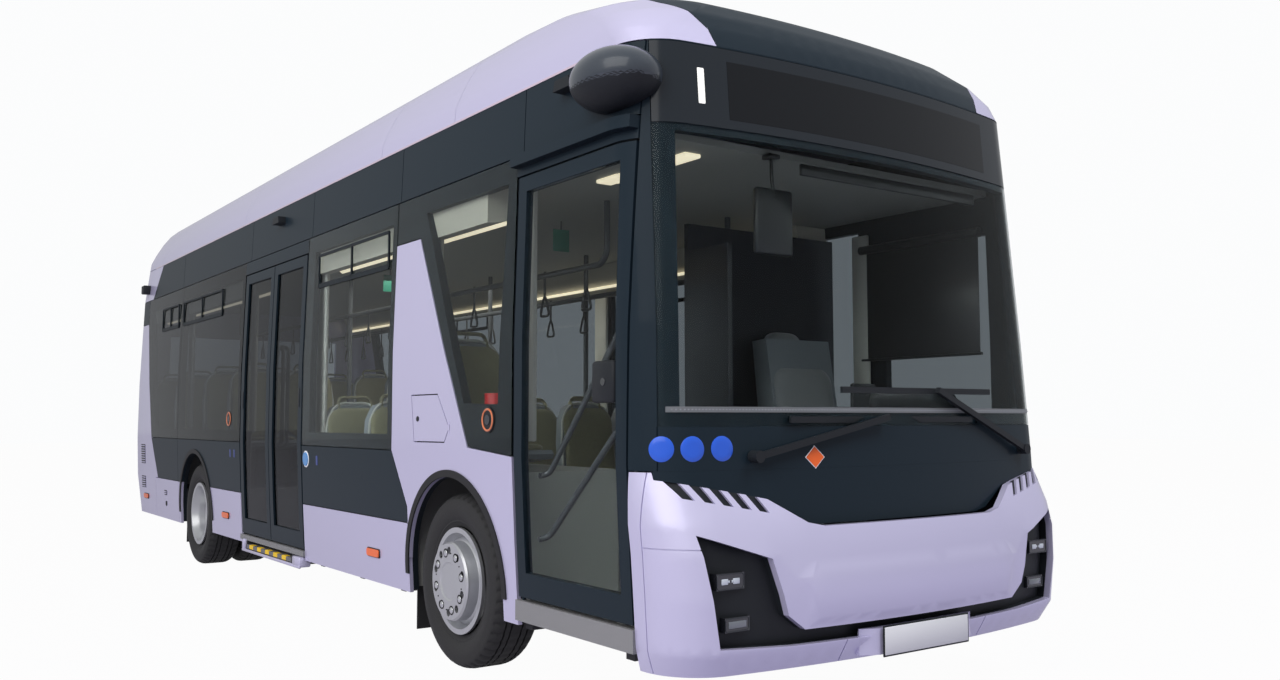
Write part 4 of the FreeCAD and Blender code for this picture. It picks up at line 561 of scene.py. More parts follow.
# %% The display's field, the marker strip and the plate
def front_plate(y_low, y_high, z_low, z_high, lift, columns=48, rows=9):
    """A sheet of points (fitted x + lift, y, z) on the front's curve, with its rim turned back by 4 mm."""
    y, z = np.meshgrid(np.linspace(y_low, y_high, columns), np.linspace(z_low, z_high, rows))
    tree = tree_of("display_glass", "front_frame")
    x = [front_spot(tree, *at).x for at in zip(y.flat, z.flat)]
    u, v = y / 1.2, z - z_low
    terms = np.stack([u ** i * v ** j for i in range(7) for j in range(3)], -1)
    factors = np.linalg.lstsq(terms.reshape(-1, 21), np.array(x), rcond=None)[0]
    sheet = np.stack([terms @ factors + lift, y, z], -1)
    rim = np.concatenate([sheet[0], sheet[1:, -1], sheet[-1, -2::-1], sheet[-2:0:-1, 0]])
    points = np.concatenate([sheet.reshape(-1, 3), rim, rim - (0.004, 0, 0)])
    j = np.arange(len(rim))
    k = (j + 1) % len(rim)
    first, second = columns * rows, columns * rows + len(rim)
    walls = np.stack([first + j, first + k, second + k, second + j], -1)
    return points, np.concatenate([grid_faces(rows, columns, False), walls])


piece("display_field", [front_plate(-0.80, 0.86, 2.448, 2.694, 0.0012)], display_field)
piece("marker_strip", [patch("front", soft_outline(-0.927, 2.574, 0.030, 0.150, 0.004))], white_strip)
plate_x, plate_z = solid_high.x - 0.0065, 0.341
piece("plate_frame", [rounded_block((plate_x - 0.004, -0.268, plate_z - 0.062),
                                    (plate_x + 0.002, 0.268, plate_z + 0.062))], black_plastic)
piece("plate_blank", [rounded_block((plate_x, -0.260, plate_z - 0.055),
                                    (plate_x + 0.0045, 0.260, plate_z + 0.055), 0.003)], plate_white)

# %% [markdown]
# The head lamps are dark glass boxes, which are solids already. A ray finds each one's
# face, and small round-edged blocks on it stand for the bright squares of the upper
# lamp and the long lens of the lower one, in a thin rim.

# %% Lenses of the head lamps
def lens(face_x, y, z, half_y, half_z, radius):
    """A block round (y, z) on a lamp's face, 3 mm proud of it."""
    return rounded_block((face_x - 0.002, y - half_y, z - half_z),
                         (face_x + 0.003, y + half_y, z + half_z), radius)


lamp_tree = tree_of("head_lamps")
squares, bars, rims = [], [], []
for y, z, wide, tall in ((0.960, 0.624, 0.136, 0.062), (0.928, 0.462, 0.121, 0.054)):
    face_x = front_spot(lamp_tree, y, z).x
    rim_path = soft_outline(y, z, wide - 0.006, tall - 0.006, 0.010)
    rim_path = np.concatenate([rim_path, rim_path[:1]])
    rim_path = np.stack([np.full(len(rim_path), face_x + 0.001), rim_path[:, 0], rim_path[:, 1]], -1)
    rims.append(bar(rim_path, 0.0022, up=(1, 0, 0), sides=6))
    if z > 0.5:
        for aside in (-0.21 * wide, 0.21 * wide):
            squares += [lens(face_x, y + aside, z, 0.016, 0.011, 0.004),
                        lens(face_x, y + aside * 0.3, z, 0.004, 0.005, 0.002)]
    else:
        bars.append(lens(face_x, y, z, 0.044, 0.013, 0.005))
piece("lamp_lenses", [both_sides(stacked(squares))], lens_bright)
piece("fog_lenses", [both_sides(stacked(bars))], lens_grey)
piece("lamp_rims", [both_sides(stacked(rims))], lamp_rim)

# %% [markdown]
# The lower edge of the windscreen carries a pale beaded strip, a row of small drops
# of light on the glass's black border. Behind the glass hang the driver's mirror to
# the saloon and, rolled up, a sun blind.

# %% Windscreen's strip, mirror and blind
def on_front(y, z, lift=0.0):
    """Points on the front skin at (y, z), found by rays that run back along x, then lifted along x."""
    spots = [front_spot(outside, *at) for at in zip(y, z)]
    return np.array([(s.x + lift, s.y, s.z) for s in spots])


strip_z = 1.268
strip_line = on_front(np.linspace(-1.14, 1.14, 80), np.full(80, strip_z), 0.0006)
strip_grey = finish("strip_grey", (0.16, 0.17, 0.18), 0.2, 0.4)
bead_grey = finish("bead_grey", (0.27, 0.285, 0.30), 0.2, 0.4)
piece("windscreen_strip", [ribbon(strip_line, 0.022, 0.0012, up=(1, 0, 0))], strip_grey)
bead_spots = on_front(np.linspace(-1.12, 1.12, 150), np.full(150, strip_z), 0.001)
bead_half = np.array((0.001, 0.005, 0.0028))
piece("windscreen_beads", [rounded_block(spot - bead_half, spot + bead_half, 0.0009, 6)
                           for spot in bead_spots], bead_grey)

mirror_black = finish("mirror_black", (0.015, 0.016, 0.018), 0.0, 0.3)
mirror_glass = finish("mirror_glass", (0.55, 0.58, 0.60), 1.0, 0.04)
piece("saloon_mirror", [
    rounded_block((4.20, -0.50, 1.95), (4.235, -0.28, 2.245), 0.016),
    bar(bent([(4.22, -0.40, 2.40), (4.22, -0.40, 2.28), (4.23, -0.39, 2.20)], 0.05), 0.008, up=(1, 0, 0)),
    rounded_block((4.19, -0.43, 2.375), (4.25, -0.37, 2.397), 0.006)], mirror_black)
piece("saloon_mirror_face", [rounded_block((4.196, -0.486, 1.966), (4.2015, -0.294, 2.229), 0.002)],
      mirror_glass)
piece("sun_blind", [rounded_block((4.30, -0.31, 2.300), (4.318, 0.89, 2.352), 0.006)], mirror_black)

# %% [markdown]
# ## Inside
# Passengers see a cream ceiling with a rounded duct and a warm light along each side,
# strap hangers on the overhead rails, pale pillar covers, and seats whose shells
# have a light piping round the rim. On the right the duct and the light stop at the
# middle door, whose leaves swing in there.

# %% Ceiling ducts and lights
warm_light = finish("warm_light", (0.9, 0.82, 0.62), 0.0, 0.4, Emission_Color=(1.0, 0.86, 0.62, 1),
                    Emission_Strength=0.85)
duct_plastic = finish("duct_cream", (0.42, 0.40, 0.34), 0.0, 0.5)
door_low, door_high = -0.86, 0.57


def duct_run(low, high):
    """The duct and its light strip from one x to another on the left side.
    The duct's section is a quarter ellipse, (0.26 cos a, -0.20 sin a), closed at its centre."""
    a = np.linspace(0, math.pi / 2, 9)
    quarter = np.concatenate([np.stack([0.26 * np.cos(a), -0.20 * np.sin(a)], -1), [(0, 0)]])
    xs = np.linspace(low, high, 20)[:, None] * (1, 0, 0)
    return (carried(xs + (0, 1.165, 2.392), quarter),
            ribbon(xs + (0, 0.985, 2.238), 0.045, 0.012, up=(0, -0.55, 0.83)))


runs = [duct_run(-4.35, 3.02)]
runs += [[mirrored(shape) for shape in duct_run(*ends)] for ends in ((-4.35, door_low), (door_high, 3.02))]
piece("ceiling_ducts", [duct for duct, _ in runs], duct_plastic)
piece("ceiling_lights", [light for _, light in runs], warm_light)
piece("cab_light", [rounded_block((3.35, -0.75, 2.378), (4.05, -0.66, 2.397), 0.006)], warm_light)

# %% [markdown]
# A strap hanger is a short belt over the rail with a rounded triangle of plastic.
# One is worked out and then stacked along both rails.

# %% Strap hangers
def hanger(x, y):
    """A belt 0.15 m long, then a loop: a triangle's corners turned into curves, as a round bar."""
    belt = ribbon([(0, 0, 0.024), (0, 0, -0.05), (0, 0, -0.125)], 0.024, 0.003, up=(0, 1, 0))
    loop = bent([(0, 0, -0.12), (-0.018, 0, -0.14), (-0.05, 0, -0.235), (0.05, 0, -0.235),
                 (0.018, 0, -0.14), (0, 0, -0.12)], 0.026, 5)
    return moved(stacked([belt, bar(loop, 0.0075, up=(0, 1, 0), sides=8)]), (x, y, rail_z))


rail_y, rail_z = 0.42, 2.06
hanger_black = finish("hanger_black", (0.025, 0.026, 0.028), 0.0, 0.4)
piece("strap_hangers", [hanger(x, y) for y in (-rail_y, rail_y) for x in np.arange(-3.4, 2.8, 0.44)],
      hanger_black)

# %% [markdown]
# The seats' rims are picked out with a thin light piping, and over each back stands a
# low hoop for the hand. A row of the list is the place of one seat: x, y and the height
# of the floor or the step under it.

# %% Seat piping and handles
seat_rows = [(x, y, 0.37) for x in (1.5, 0.78) for y in (-1.12, -0.675, 0.69, 0.245)]
seat_rows += [(x, y, 0.37) for x in (0.06, -0.66) for y in (0.69, 0.245)]
seat_rows += [(x, y, 0.69) for x in (-1.45, -3.25) for y in (-1.12, -0.675, 0.69, 0.245)]
seat_rows += [(-2.23, y, 0.6933) for y in (-1.12, -0.675, 0.69, 0.245)]
seat_rows += [(-4.25, y, 0.69) for y in (-1.10, -0.655, -0.21, 0.235, 0.68)]
seat_rows += [(2.42, 0.69, 0.6933), (2.42, -1.12, 0.6933)]


def back_x(z):
    """How far the front of a seat's back leans behind its foot at height z above the floor."""
    return np.interp(z, (0.30, 0.64, 0.95, 0.975), (-0.010, -0.062, -0.097, -0.118))


def along_back(place, line, radius):
    """A bar along a line (y, z) that leans as the back of the seat at this place does."""
    x, y, z = place
    path = np.stack([x + back_x(line[:, 1]), y + line[:, 0], z + line[:, 1]], -1)
    return bar(path, radius, up=(1, 0, 0.2), sides=8)


# The rim follows the shell's front outline, and the hoop stands over the shell for the hand.
rim = bent([(0.004, 0.42), (0.004, 0.70), (0.022, 0.862), (0.065, 0.94), (0.13, 0.972), (0.30, 0.972),
            (0.365, 0.94), (0.408, 0.862), (0.426, 0.70), (0.426, 0.42)], 0.03, 4)
hoop = bent([(0.10, 0.93), (0.10, 1.01), (0.33, 1.01), (0.33, 0.93)], 0.05, 5)
piping_pale = finish("piping_pale", (0.45, 0.46, 0.43), 0.0, 0.4)
grab_olive = finish("grab_olive", (0.17, 0.16, 0.09), 0.0, 0.4)
piece("seat_piping", [along_back(row, rim, 0.0085) for row in seat_rows], piping_pale)
piece("seat_handles", [along_back(row, hoop, 0.011) for row in seat_rows], grab_olive)

# %% [markdown]
# The seats' cloth pads are thin and crowned: foam under a stretched olive plush that
# is pulled in all round where it tucks into the shell. Each is worked out as rings of
# one outline, which swell from the shell to a seam and then close over the crown.

# %% Cushions on seats and backs
def cushion(outline, low, high, across, crown=0.010):
    """Rings (share of the outline, level): the height is low + level*(high - low) + crown*(1 - share^2).
    The sides pull in by a share of 0.007 * (1 + cos 4t), most at their middles."""
    outline = np.asarray(outline, float)
    middle = (outline.min(0) + outline.max(0)) / 2
    around = np.arctan2(*((outline - middle) / (outline.max(0) - middle)).T)
    pulled = middle + (outline - middle) * (1 - 0.007 * (1 + np.cos(4 * around)))[:, None]
    rings = []
    for share, level in ((0.90, 0.0), (0.985, 0.10), (1.0, 0.35), (0.992, 0.48), (1.0, 0.60), (0.965, 0.85),
                         (0.88, 0.98), (0.70, 1.0), (0.45, 1.0), (0.2, 1.0)):
        spot = middle + (pulled - middle) * share
        swell = crown * (1 - share ** 2) if level > 0.5 else 0
        rings.append(across(spot, low(spot) + level * (high(spot) - low(spot)) + swell))
    return skinned(np.stack(rings))


def flat_on_seat(spot, height):
    """An outline (x, y) with its height as z."""
    return np.stack([spot[:, 0], spot[:, 1], height], -1)


def upright(spot, depth):
    """An outline (y, z) with its depth as x."""
    return np.stack([depth, spot[:, 0], spot[:, 1]], -1)


def shell_line(spot):
    """The back pad's depth where it lies on the shell: four measured points of a bent line."""
    return np.interp(spot[:, 1], (0.395, 0.640, 0.890, 0.950), (-0.0103, -0.0593, -0.0874, -0.0942))


def front_line(spot):
    """The back pad's depth at its front, 2 to 3 cm before the shell."""
    return np.interp(spot[:, 1], (0.402, 0.640, 0.893, 0.950), (0.018, -0.030, -0.064, -0.071))


# The seat's pad lies between two planes that rise forwards.
rise = 0.0932
seat_pad = cushion(soft_outline(0.218, 0.215, 0.384, 0.386, 0.05, 7), lambda s: 0.341 + s[:, 0] * rise,
                   lambda s: 0.3705 + s[:, 0] * rise, flat_on_seat)
back_pad = cushion(soft_outline(0.215, 0.670, 0.392, 0.540, 0.105, 7), shell_line, front_line, upright)
pads = piece("saloon_cushions", [moved(pad, row) for row in seat_rows for pad in (seat_pad, back_pad)],
             plush)
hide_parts("seat_pads")

# %% [markdown]
# A dark roller blind covers the driver's side window and a round-edged hood shades the
# instruments. The driver sits on a taller seat with a headrest. The same rings make its
# cushions, with their depth leaning back as the shell does.

# %% The driver's blind, instruments and seat
blind_y = 1.107
piece("roller_blind", [rounded_block((3.36, blind_y - 0.002, 1.57), (4.17, blind_y + 0.002, 2.20), 0.0015),
                       *(bar([(x, blind_y, z) for x in (3.35, 3.76, 4.18)], radius)
                         for z, radius in ((1.57, 0.008), (2.21, 0.026)))], mirror_black)
piece("instrument_hood", [rounded_block((3.985, 0.30, 1.12), (4.165, 0.97, 1.385), 0.075, 20),
                          rounded_block((4.10, 0.20, 1.12), (4.125, 0.36, 1.40), 0.010)], black_plastic)


def driver_back(low_z, high_z, wide, front, thick):
    """A tall crowned cushion: outline (y, z), its depth leaning back by 0.165 a metre above z = 0.95."""
    def depth(spot):
        return front - 0.165 * (spot[:, 1] - 0.95)

    return cushion(soft_outline(driver_y, (low_z + high_z) / 2, wide, high_z - low_z, 0.09, 7),
                   lambda spot: depth(spot) - thick, depth, upright, 0.02)


driver_y = 0.62
cab_cloth = grain(finish("cab_cloth", (0.17, 0.18, 0.19), 0.0, 0.8, Sheen_Weight=0.4), 650, 0.0009)
cab_seat = [driver_back(0.99, 1.52, 0.46, 3.452, 0.10), driver_back(1.53, 1.72, 0.27, 3.345, 0.06),
            cushion(soft_outline(3.655, driver_y, 0.42, 0.46, 0.07, 7), lambda s: np.full(len(s), 0.955),
                    lambda s: np.full(len(s), 0.985), flat_on_seat, 0.02)]
cab_pads = piece("driver_cushions", cab_seat, cab_cloth)

# %% [markdown]
# Inside, pale covers hide the posts between the windows and a grey lining runs below
# them, so the far wall seen through the glass is light. Small green signs hang from
# the ceiling on short straps.

# %% Wall covers and hanging signs
inner_y = 1.128
pillars = [(-2.86, -2.71), (-0.94, -0.83), (0.54, 0.70), (1.95, 2.42), (3.28, 3.40)]
covers = [rounded_block((low, inner_y - 0.026, 1.13), (high, inner_y, 2.30), 0.010)
          for low, high in pillars]
pillar_cover = finish("pillar_cover", (0.42, 0.42, 0.39), 0.0, 0.5)
piece("pillar_covers", [both_sides(stacked(covers))], pillar_cover)


def lining_panel(low, high, foot):
    """A panel 4 mm thick on the left wall, from one x to another, from its foot up to the sill."""
    return rounded_block((low, inner_y, foot), (high, inner_y + 0.004, 1.145), 0.0015)


# Over the wheels the panels start at 1.02, clear of the tyres, and elsewhere near the floor.
panels = stacked([lining_panel(-4.30, -1.37, 1.02), lining_panel(-1.35, door_low, 0.40),
                  lining_panel(door_high, 1.62, 0.40), lining_panel(1.62, 3.04, 1.02)])
side_lining = finish("side_lining", (0.30, 0.31, 0.31), 0.0, 0.55)
piece("side_linings", [both_sides(panels), lining_panel(door_low, door_high, 0.40)], side_lining)
sign_green = finish("sign_green", (0.02, 0.20, 0.13), 0.0, 0.4)
sign_y, sign_xs = -0.30, (2.30, -0.2)
piece("hanging_signs", [rounded_block((x, sign_y - 0.055, 2.215), (x + 0.005, sign_y + 0.055, 2.345), 0.002)
                        for x in sign_xs], sign_green)
piece("sign_hangers", [rounded_block((x, sign_y - 0.004, 2.33), (x + 0.004, sign_y + 0.004, 2.397), 0.001)
                       for x in sign_xs], hanger_black)

# %% [markdown]
# The driver has a screen and a cluster of switches. A yellow ticket reader stands on
# its post by the front door, and a red extinguisher on the ledge over the wheel. The
# boxes are round-edged blocks, and the post and the bottle are bars.

# %% Driver's place and small boxes
screen_blue = finish("screen_blue", (0.02, 0.03, 0.05), 0.0, 0.1, Emission_Color=(0.15, 0.25, 0.5, 1),
                     Emission_Strength=0.4)
validator_yellow = finish("validator_yellow", (0.75, 0.50, 0.03), 0.0, 0.4)
extinguisher_red = finish("extinguisher_red", (0.55, 0.02, 0.02), 0.0, 0.3, Coat_Weight=0.8)
reader_post = bar([(3.37, -0.09, z) for z in (0.38, 0.7, 1.03)], 0.018, up=(1, 0, 0))
piece("ticket_reader", [rounded_block((3.30, -0.16, 1.02), (3.44, -0.02, 1.26), 0.02), reader_post],
      validator_yellow)
piece("driver_screen", [rounded_block((4.03, 0.30, 1.10), (4.045, 0.52, 1.24), 0.004)], screen_blue)
piece("switch_boxes", [rounded_block((3.80, 0.02, 0.98), (4.02, 0.24, 1.10), 0.02),
                       rounded_block((4.05, -0.05, 0.95), (4.13, 0.07, 1.19), 0.02)], black_plastic)
bottle = bar([(2.92, -1.06, z) for z in (0.99, 1.2, 1.36)], 0.055, up=(1, 0, 0), sides=20)
piece("ledge_extinguisher", [bottle], extinguisher_red)

# %% [markdown]
# ## The sides
# Each side has orange marker lamps. The right one has round buttons for the doors and
# the ramp as well: a plate, a bright ring and a cap, each a patch or a torus.

# %% Markers, buttons and plugs
button_blue = finish("button_blue", (0.03, 0.22, 0.55), 0.0, 0.25, Coat_Weight=0.8)
button_red = finish("button_copper", (0.62, 0.17, 0.06), 0.2, 0.3, Coat_Weight=0.8)
markers = [(1.733, 0.475), (-1.270, 0.480), (-4.080, 0.480)]
piece("marker_bases", [patch(side, soft_outline(x, z, 0.180, 0.052, 0.012), 0.005)
                       for side in ("right", "left") for x, z in markers], black_plastic)
piece("marker_lamps", [patch(side, soft_outline(x, z, 0.170, 0.042, 0.014), 0.012)
                       for side in ("right", "left") for x, z in markers], amber)


def ring_on_side(x, z, radius, thick):
    """A torus on the right wall: centre + (R + r cos b)(cos a, sin a), r sin b outwards."""
    a = np.linspace(0, 2 * math.pi, 41)[:-1, None]
    b = np.linspace(0, 2 * math.pi, 11)[None, :-1]
    out = radius + thick * np.cos(b)
    y = right_wall + thick * np.sin(b) + 0 * a
    return closed_loop(np.stack([x + out * np.cos(a), y, z + out * np.sin(a)], -1))


right_wall = -1.2265
openers = [(3.150, 1.229), (-1.145, 1.239)]
piece("opening_button_plates", [patch("right", round_outline(x, z, 0.062), 0.003) for x, z in openers],
      black_plastic)
piece("opening_button_rings", [ring_on_side(x, z, 0.050, 0.006) for x, z in openers], button_red)
piece("opening_button_caps", [patch("right", round_outline(x, z, 0.024), 0.007) for x, z in openers],
      smoked)
piece("ramp_call_button", [patch("right", round_outline(0.641, 0.976, 0.045), 0.008)], button_blue)
piece("ramp_call_rim", [patch("right", round_outline(0.641, 0.976, 0.054), 0.003)], sign_rim)
small_blue = finish("small_blue", (0.035, 0.055, 0.21), 0.0, 0.4)
piece("small_signs", [patch("right", soft_outline(x, 0.972, 0.030, 0.060, 0.006), 0.0015)
                      for x in (0.84, -0.995, -1.105)], small_blue)
piece("flap_lock", [disc((2.37, right_wall, 1.235), 0.014, 0.006)], black_plastic)
piece("skirt_plugs", [patch("right", round_outline(-3.255, 0.452, 0.024), 0.004)], black_plastic)

# %% [markdown]
# The upper part of some windows tips inwards. On the glass this shows as a thin dark
# frame with one upright in its middle, so flat strips are laid just outside the pane.

# %% Hopper windows
hoppers = [(0.80, 1.93), (-2.72, -1.46), (-3.52, -2.90)]
pane_y = -1.2135
rails = []
for low_x, high_x in hoppers:
    across = (low_x, (low_x + high_x) / 2, high_x)
    for z, wide in ((2.095, 0.030), (2.292, 0.016)):
        rails.append(ribbon([(x, pane_y, z) for x in across], 0.010, wide))
    for x in across:
        rails.append(ribbon([(x, pane_y, z) for z in (2.09, 2.19, 2.295)], 0.010, 0.016, up=(1, 0, 0)))
piece("hopper_frames", [both_sides(stacked(rails))], frame_black)

# %% [markdown]
# Feet need grip and eyes need warning: the steps get fine raised ribs, and the ramp's
# edge gets yellow blocks that slide out with it. A painted lip frames the ramp's slot.
# A door's handle and bars ride on its leaf, so that they swing with it.

# %% Steps, hazard blocks and handles
hazard_yellow = finish("hazard_yellow", (0.80, 0.52, 0.02), 0.0, 0.5)
step_alloy = finish("step_alloy", (0.30, 0.30, 0.31), 0.8, 0.4)
ramp_low, ramp_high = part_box("ramp")
blocks = ramp_low.x + 0.07 + 0.185 * np.arange(5)
piece("ramp_blocks", [rounded_block((x, ramp_low.y - 0.002, ramp_low.z + 0.001),
                                    (x + 0.085, ramp_low.y + 0.030, ramp_high.z + 0.0015), 0.0015, 8)
                      for x in blocks], hazard_yellow, "ramp")
piece("ramp_lip", [rounded_block((-0.735, -1.222, 0.262), (-0.690, -1.14, 0.345), 0.012),
                   rounded_block((0.400, -1.222, 0.262), (0.545, -1.14, 0.330), 0.012),
                   rounded_block((-0.735, -1.222, 0.256), (0.545, -1.2065, 0.2765), 0.006)], pearl)
for end, x in (("rear", -0.798), ("front", 0.477)):
    piece("mid_handle_" + end, [rounded_block((x, -1.2285, 1.315), (x + 0.028, -1.222, 1.445), 0.003)],
          black_plastic, "mid_door_" + end)
piece("rear_camera_box", [rounded_block((-4.305, -1.262, 2.515), (-4.190, -1.175, 2.600), 0.010)],
      black_plastic)
step_rows = -1.19 + 0.012 * np.arange(6)
steps = ((3.41, 4.27, 0.425), (-0.82, 0.53, 0.37))
piece("step_grooves", [rounded_block((low_x, y, top), (high_x, y + 0.006, top + 0.002), 0.0008, 8)
                       for low_x, high_x, top in steps for y in step_rows], step_alloy)

# %% [markdown]
# A leaf has a lock box outside and grab bars inside. A bar leaves the leaf, turns, runs
# on at a hand's width from the glass and turns back into the leaf.

# %% Lock and grab bars of the doors
lock_box = rounded_block((4.035, -1.232, 1.295), (4.195, -1.195, 1.466), 0.02)
piece("door_lock_box", [lock_box], black_plastic, "front_door")
piece("door_lock_keyhole", [disc((4.125, -1.2325, 1.38), 0.016, 0.004)], lens_dark, "front_door")


def grab_bar(low, high, leaf_y, out_y, turn, up):
    """A bar from one (x, z) on the leaf to another, which stands out from leaf_y to out_y between them."""
    (x, z), (x2, z2) = low, high
    return bar(bent([(x, leaf_y, z), (x, out_y, z), (x2, out_y, z2), (x2, leaf_y, z2)], turn), 0.014, up)


piece("front_door_grab_bars", [grab_bar((3.50, low_z), (4.17, high_z), -1.150, -1.10, 0.05, (0, 1, 0.1))
                               for low_z, high_z in ((0.98, 1.72), (0.70, 1.30))], rail_coat, "front_door")
for leaf, x in (("mid_door_rear", -0.20), ("mid_door_front", -0.09)):
    piece(leaf + "_grab_bar", [grab_bar((x, 1.05), (x, 1.75), -1.165, -1.11, 0.04, (1, 0.1, 0))],
          rail_coat, leaf)

# %% [markdown]
# The rear corners have louvres for the cooling air: a row of thin slats over a dark
# field, which is painted shade for the opening behind them. A thin pale line runs along
# the roof's edge, where rays from each side meet the cant panels.

# %% Louvres and the line under the roof
def louvre(side, x_low, x_high, z_low, z_high, count):
    """A dark field, painted shade of the opening, with evenly spaced slats that stand out from it."""
    field = patch(side, filled([(x_low, z_low), (x_high, z_low), (x_high, z_high), (x_low, z_high)]))
    middle, wide = (x_low + x_high) / 2, x_high - x_low - 0.012
    slats = [patch(side, soft_outline(middle, z, wide, 0.010, 0.002, 3), 0.008)
             for z in np.linspace(z_low + 0.014, z_high - 0.014, count)]
    return field, slats


opening_shades, slats = [], []
for side in ("right", "left"):
    for z_low, z_high in ((0.80, 0.99), (0.56, 0.675)):
        field, some = louvre(side, -4.27, -4.10, z_low, z_high, round((z_high - z_low) / 0.024))
        opening_shades.append(field)
        slats += some
    field, some = louvre(side, -3.32, -3.225, 0.53, 0.575, 2)
    opening_shades.append(field)
    slats += some
# The dark fields are painted shade, where the openings behind the slats lie.
piece("louvre_fields", opening_shades, black_plastic)
piece("louvre_slats", slats, pearl)
edge_pink = finish("edge_line", (0.62, 0.50, 0.60), 0.3, 0.35, Coat_Weight=1.0)
roof_x = np.linspace(-4.0, 4.15, 60)
edges = []
for sign in (-1, 1):
    inwards = Vector((0, -sign, 0))
    spots = [outside.ray_cast(Vector((float(x), 3 * sign, 2.748)), inwards)[0] for x in roof_x]
    edges.append(ribbon(np.array([(s.x, s.y, s.z + 0.004) for s in spots if s]), 0.006, 0.010))
piece("roof_edge_lines", edges, edge_pink)

# %% [markdown]
# ## Wheels
# The tyres get their grooves and ribs here: the radius at each point of the tread is
# the outer radius less a groove's depth, and the shoulder blocks come from a wave
# round the wheel. The front wheels' covers have eight round nuts, each in a hole of
# the cover; the rear discs are deep dished, with hexagonal nuts round the hub.

# %% Tyres
def tyre_surface(x, y, turns=192):
    """Section (radius, across) spun round y: bead, bulging wall, shoulder, then a tread with four grooves.
    Where cos(48 a) is over 0.30 the shoulder is 9 mm lower, and a shifted wave cuts the ribs by 4 mm."""
    top = 0.4298
    wall = [(0.2655, 0.100), (0.285, 0.1085), (0.292, 0.1150), (0.300, 0.1150), (0.306, 0.1205),
            (0.345, 0.1322), (0.368, 0.1324), (0.372, 0.1310), (0.390, 0.1290), (0.396, 0.1270),
            (0.404, 0.1228), (0.412, 0.1160), (0.421, 0.1020), (0.4265, 0.0880)]
    tread = []
    for low, high in ((0.068, 0.058), (0.034, 0.025), (-0.025, -0.034), (-0.058, -0.068)):
        tread += [(top, low), (top - 0.011, low - 0.001), (top - 0.011, high + 0.001), (top, high)]
    section = np.array(wall + tread + [(r, -w) for r, w in wall[::-1]])
    a = np.arange(turns) / turns * 2 * math.pi
    r = np.broadcast_to(section[:, 0], (turns, len(section))).copy()
    shoulder = (section[:, 0] > 0.410) & (np.abs(section[:, 1]) > 0.070)
    lateral = (np.abs(section[:, 1]) < 0.070) & (section[:, 0] > 0.42)
    r -= np.where(shoulder[None] & (np.cos(48 * a) > 0.30)[:, None], 0.009, 0)
    r -= np.where(lateral[None] & (np.cos(48 * a + 2.2) > 0.6)[:, None], 0.004, 0)
    return closed_loop(np.stack([x + r * np.sin(a)[:, None], y + np.broadcast_to(section[:, 1], r.shape),
                                 axle_z + r * np.cos(a)[:, None]], -1))


front_x, rear_x, axle_z = 2.730, -2.200, 0.43
tyre_y, twin = 1.0425, 0.298
wheel_sides = (("left", 1), ("right", -1))
for side, sign in wheel_sides:
    for name, node, body, x, ys in (
            ("grooved_tyre_front_", "tyre_front_", "front_wheel_", front_x, (tyre_y,)),
            ("grooved_tyres_rear_", "tyres_rear_", "rear_wheels_", rear_x, (tyre_y, tyre_y - twin))):
        tyres = piece(name + side, [tyre_surface(x, sign * y) for y in ys], tyre_rubber, body + side)
        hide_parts(node + side)

# %% [markdown]
# A nut that sits in a hole is two shapes: a dark coin for the hole's shadow and a
# bright dome in it. One outline of each is worked out and spun, and its copies stand
# evenly round the hub.

# %% Hub covers and nuts
def around_hub(profile, x, ring, count, sides, start=0.0):
    """Copies of a spun profile, their centres evenly round the axle: (x + ring cos t, 0, z + ring sin t)."""
    turns = start + np.arange(count) / count * 2 * math.pi
    centres = [(x + ring * math.cos(t), 0, axle_z + ring * math.sin(t)) for t in turns]
    return stacked([spun(profile, centre, sides) for centre in centres])


def coin(y, sign, radius):
    """The outline of a thin coin, dark with painted shadow, which reads as a hole pressed through the cover.
    """
    high, low = y + sign * 0.0008, y - sign * 0.004
    return [(0, high), (radius, high), (radius, low), (0, low)]


def dome(y, sign, radius, proud):
    """The outline of a round cap, whose height is proud * sqrt(1 - (r / radius)^2)."""
    r = radius * np.sin(np.linspace(0, math.pi / 2, 7))
    high = y + sign * proud * np.sqrt(1 - (r / radius) ** 2)
    return np.concatenate([np.stack([r, high], -1), [(radius, y - sign * 0.004), (0, y - sign * 0.004)]])


chrome = finish("bright_trim", (0.75, 0.76, 0.78), 1.0, 0.12)
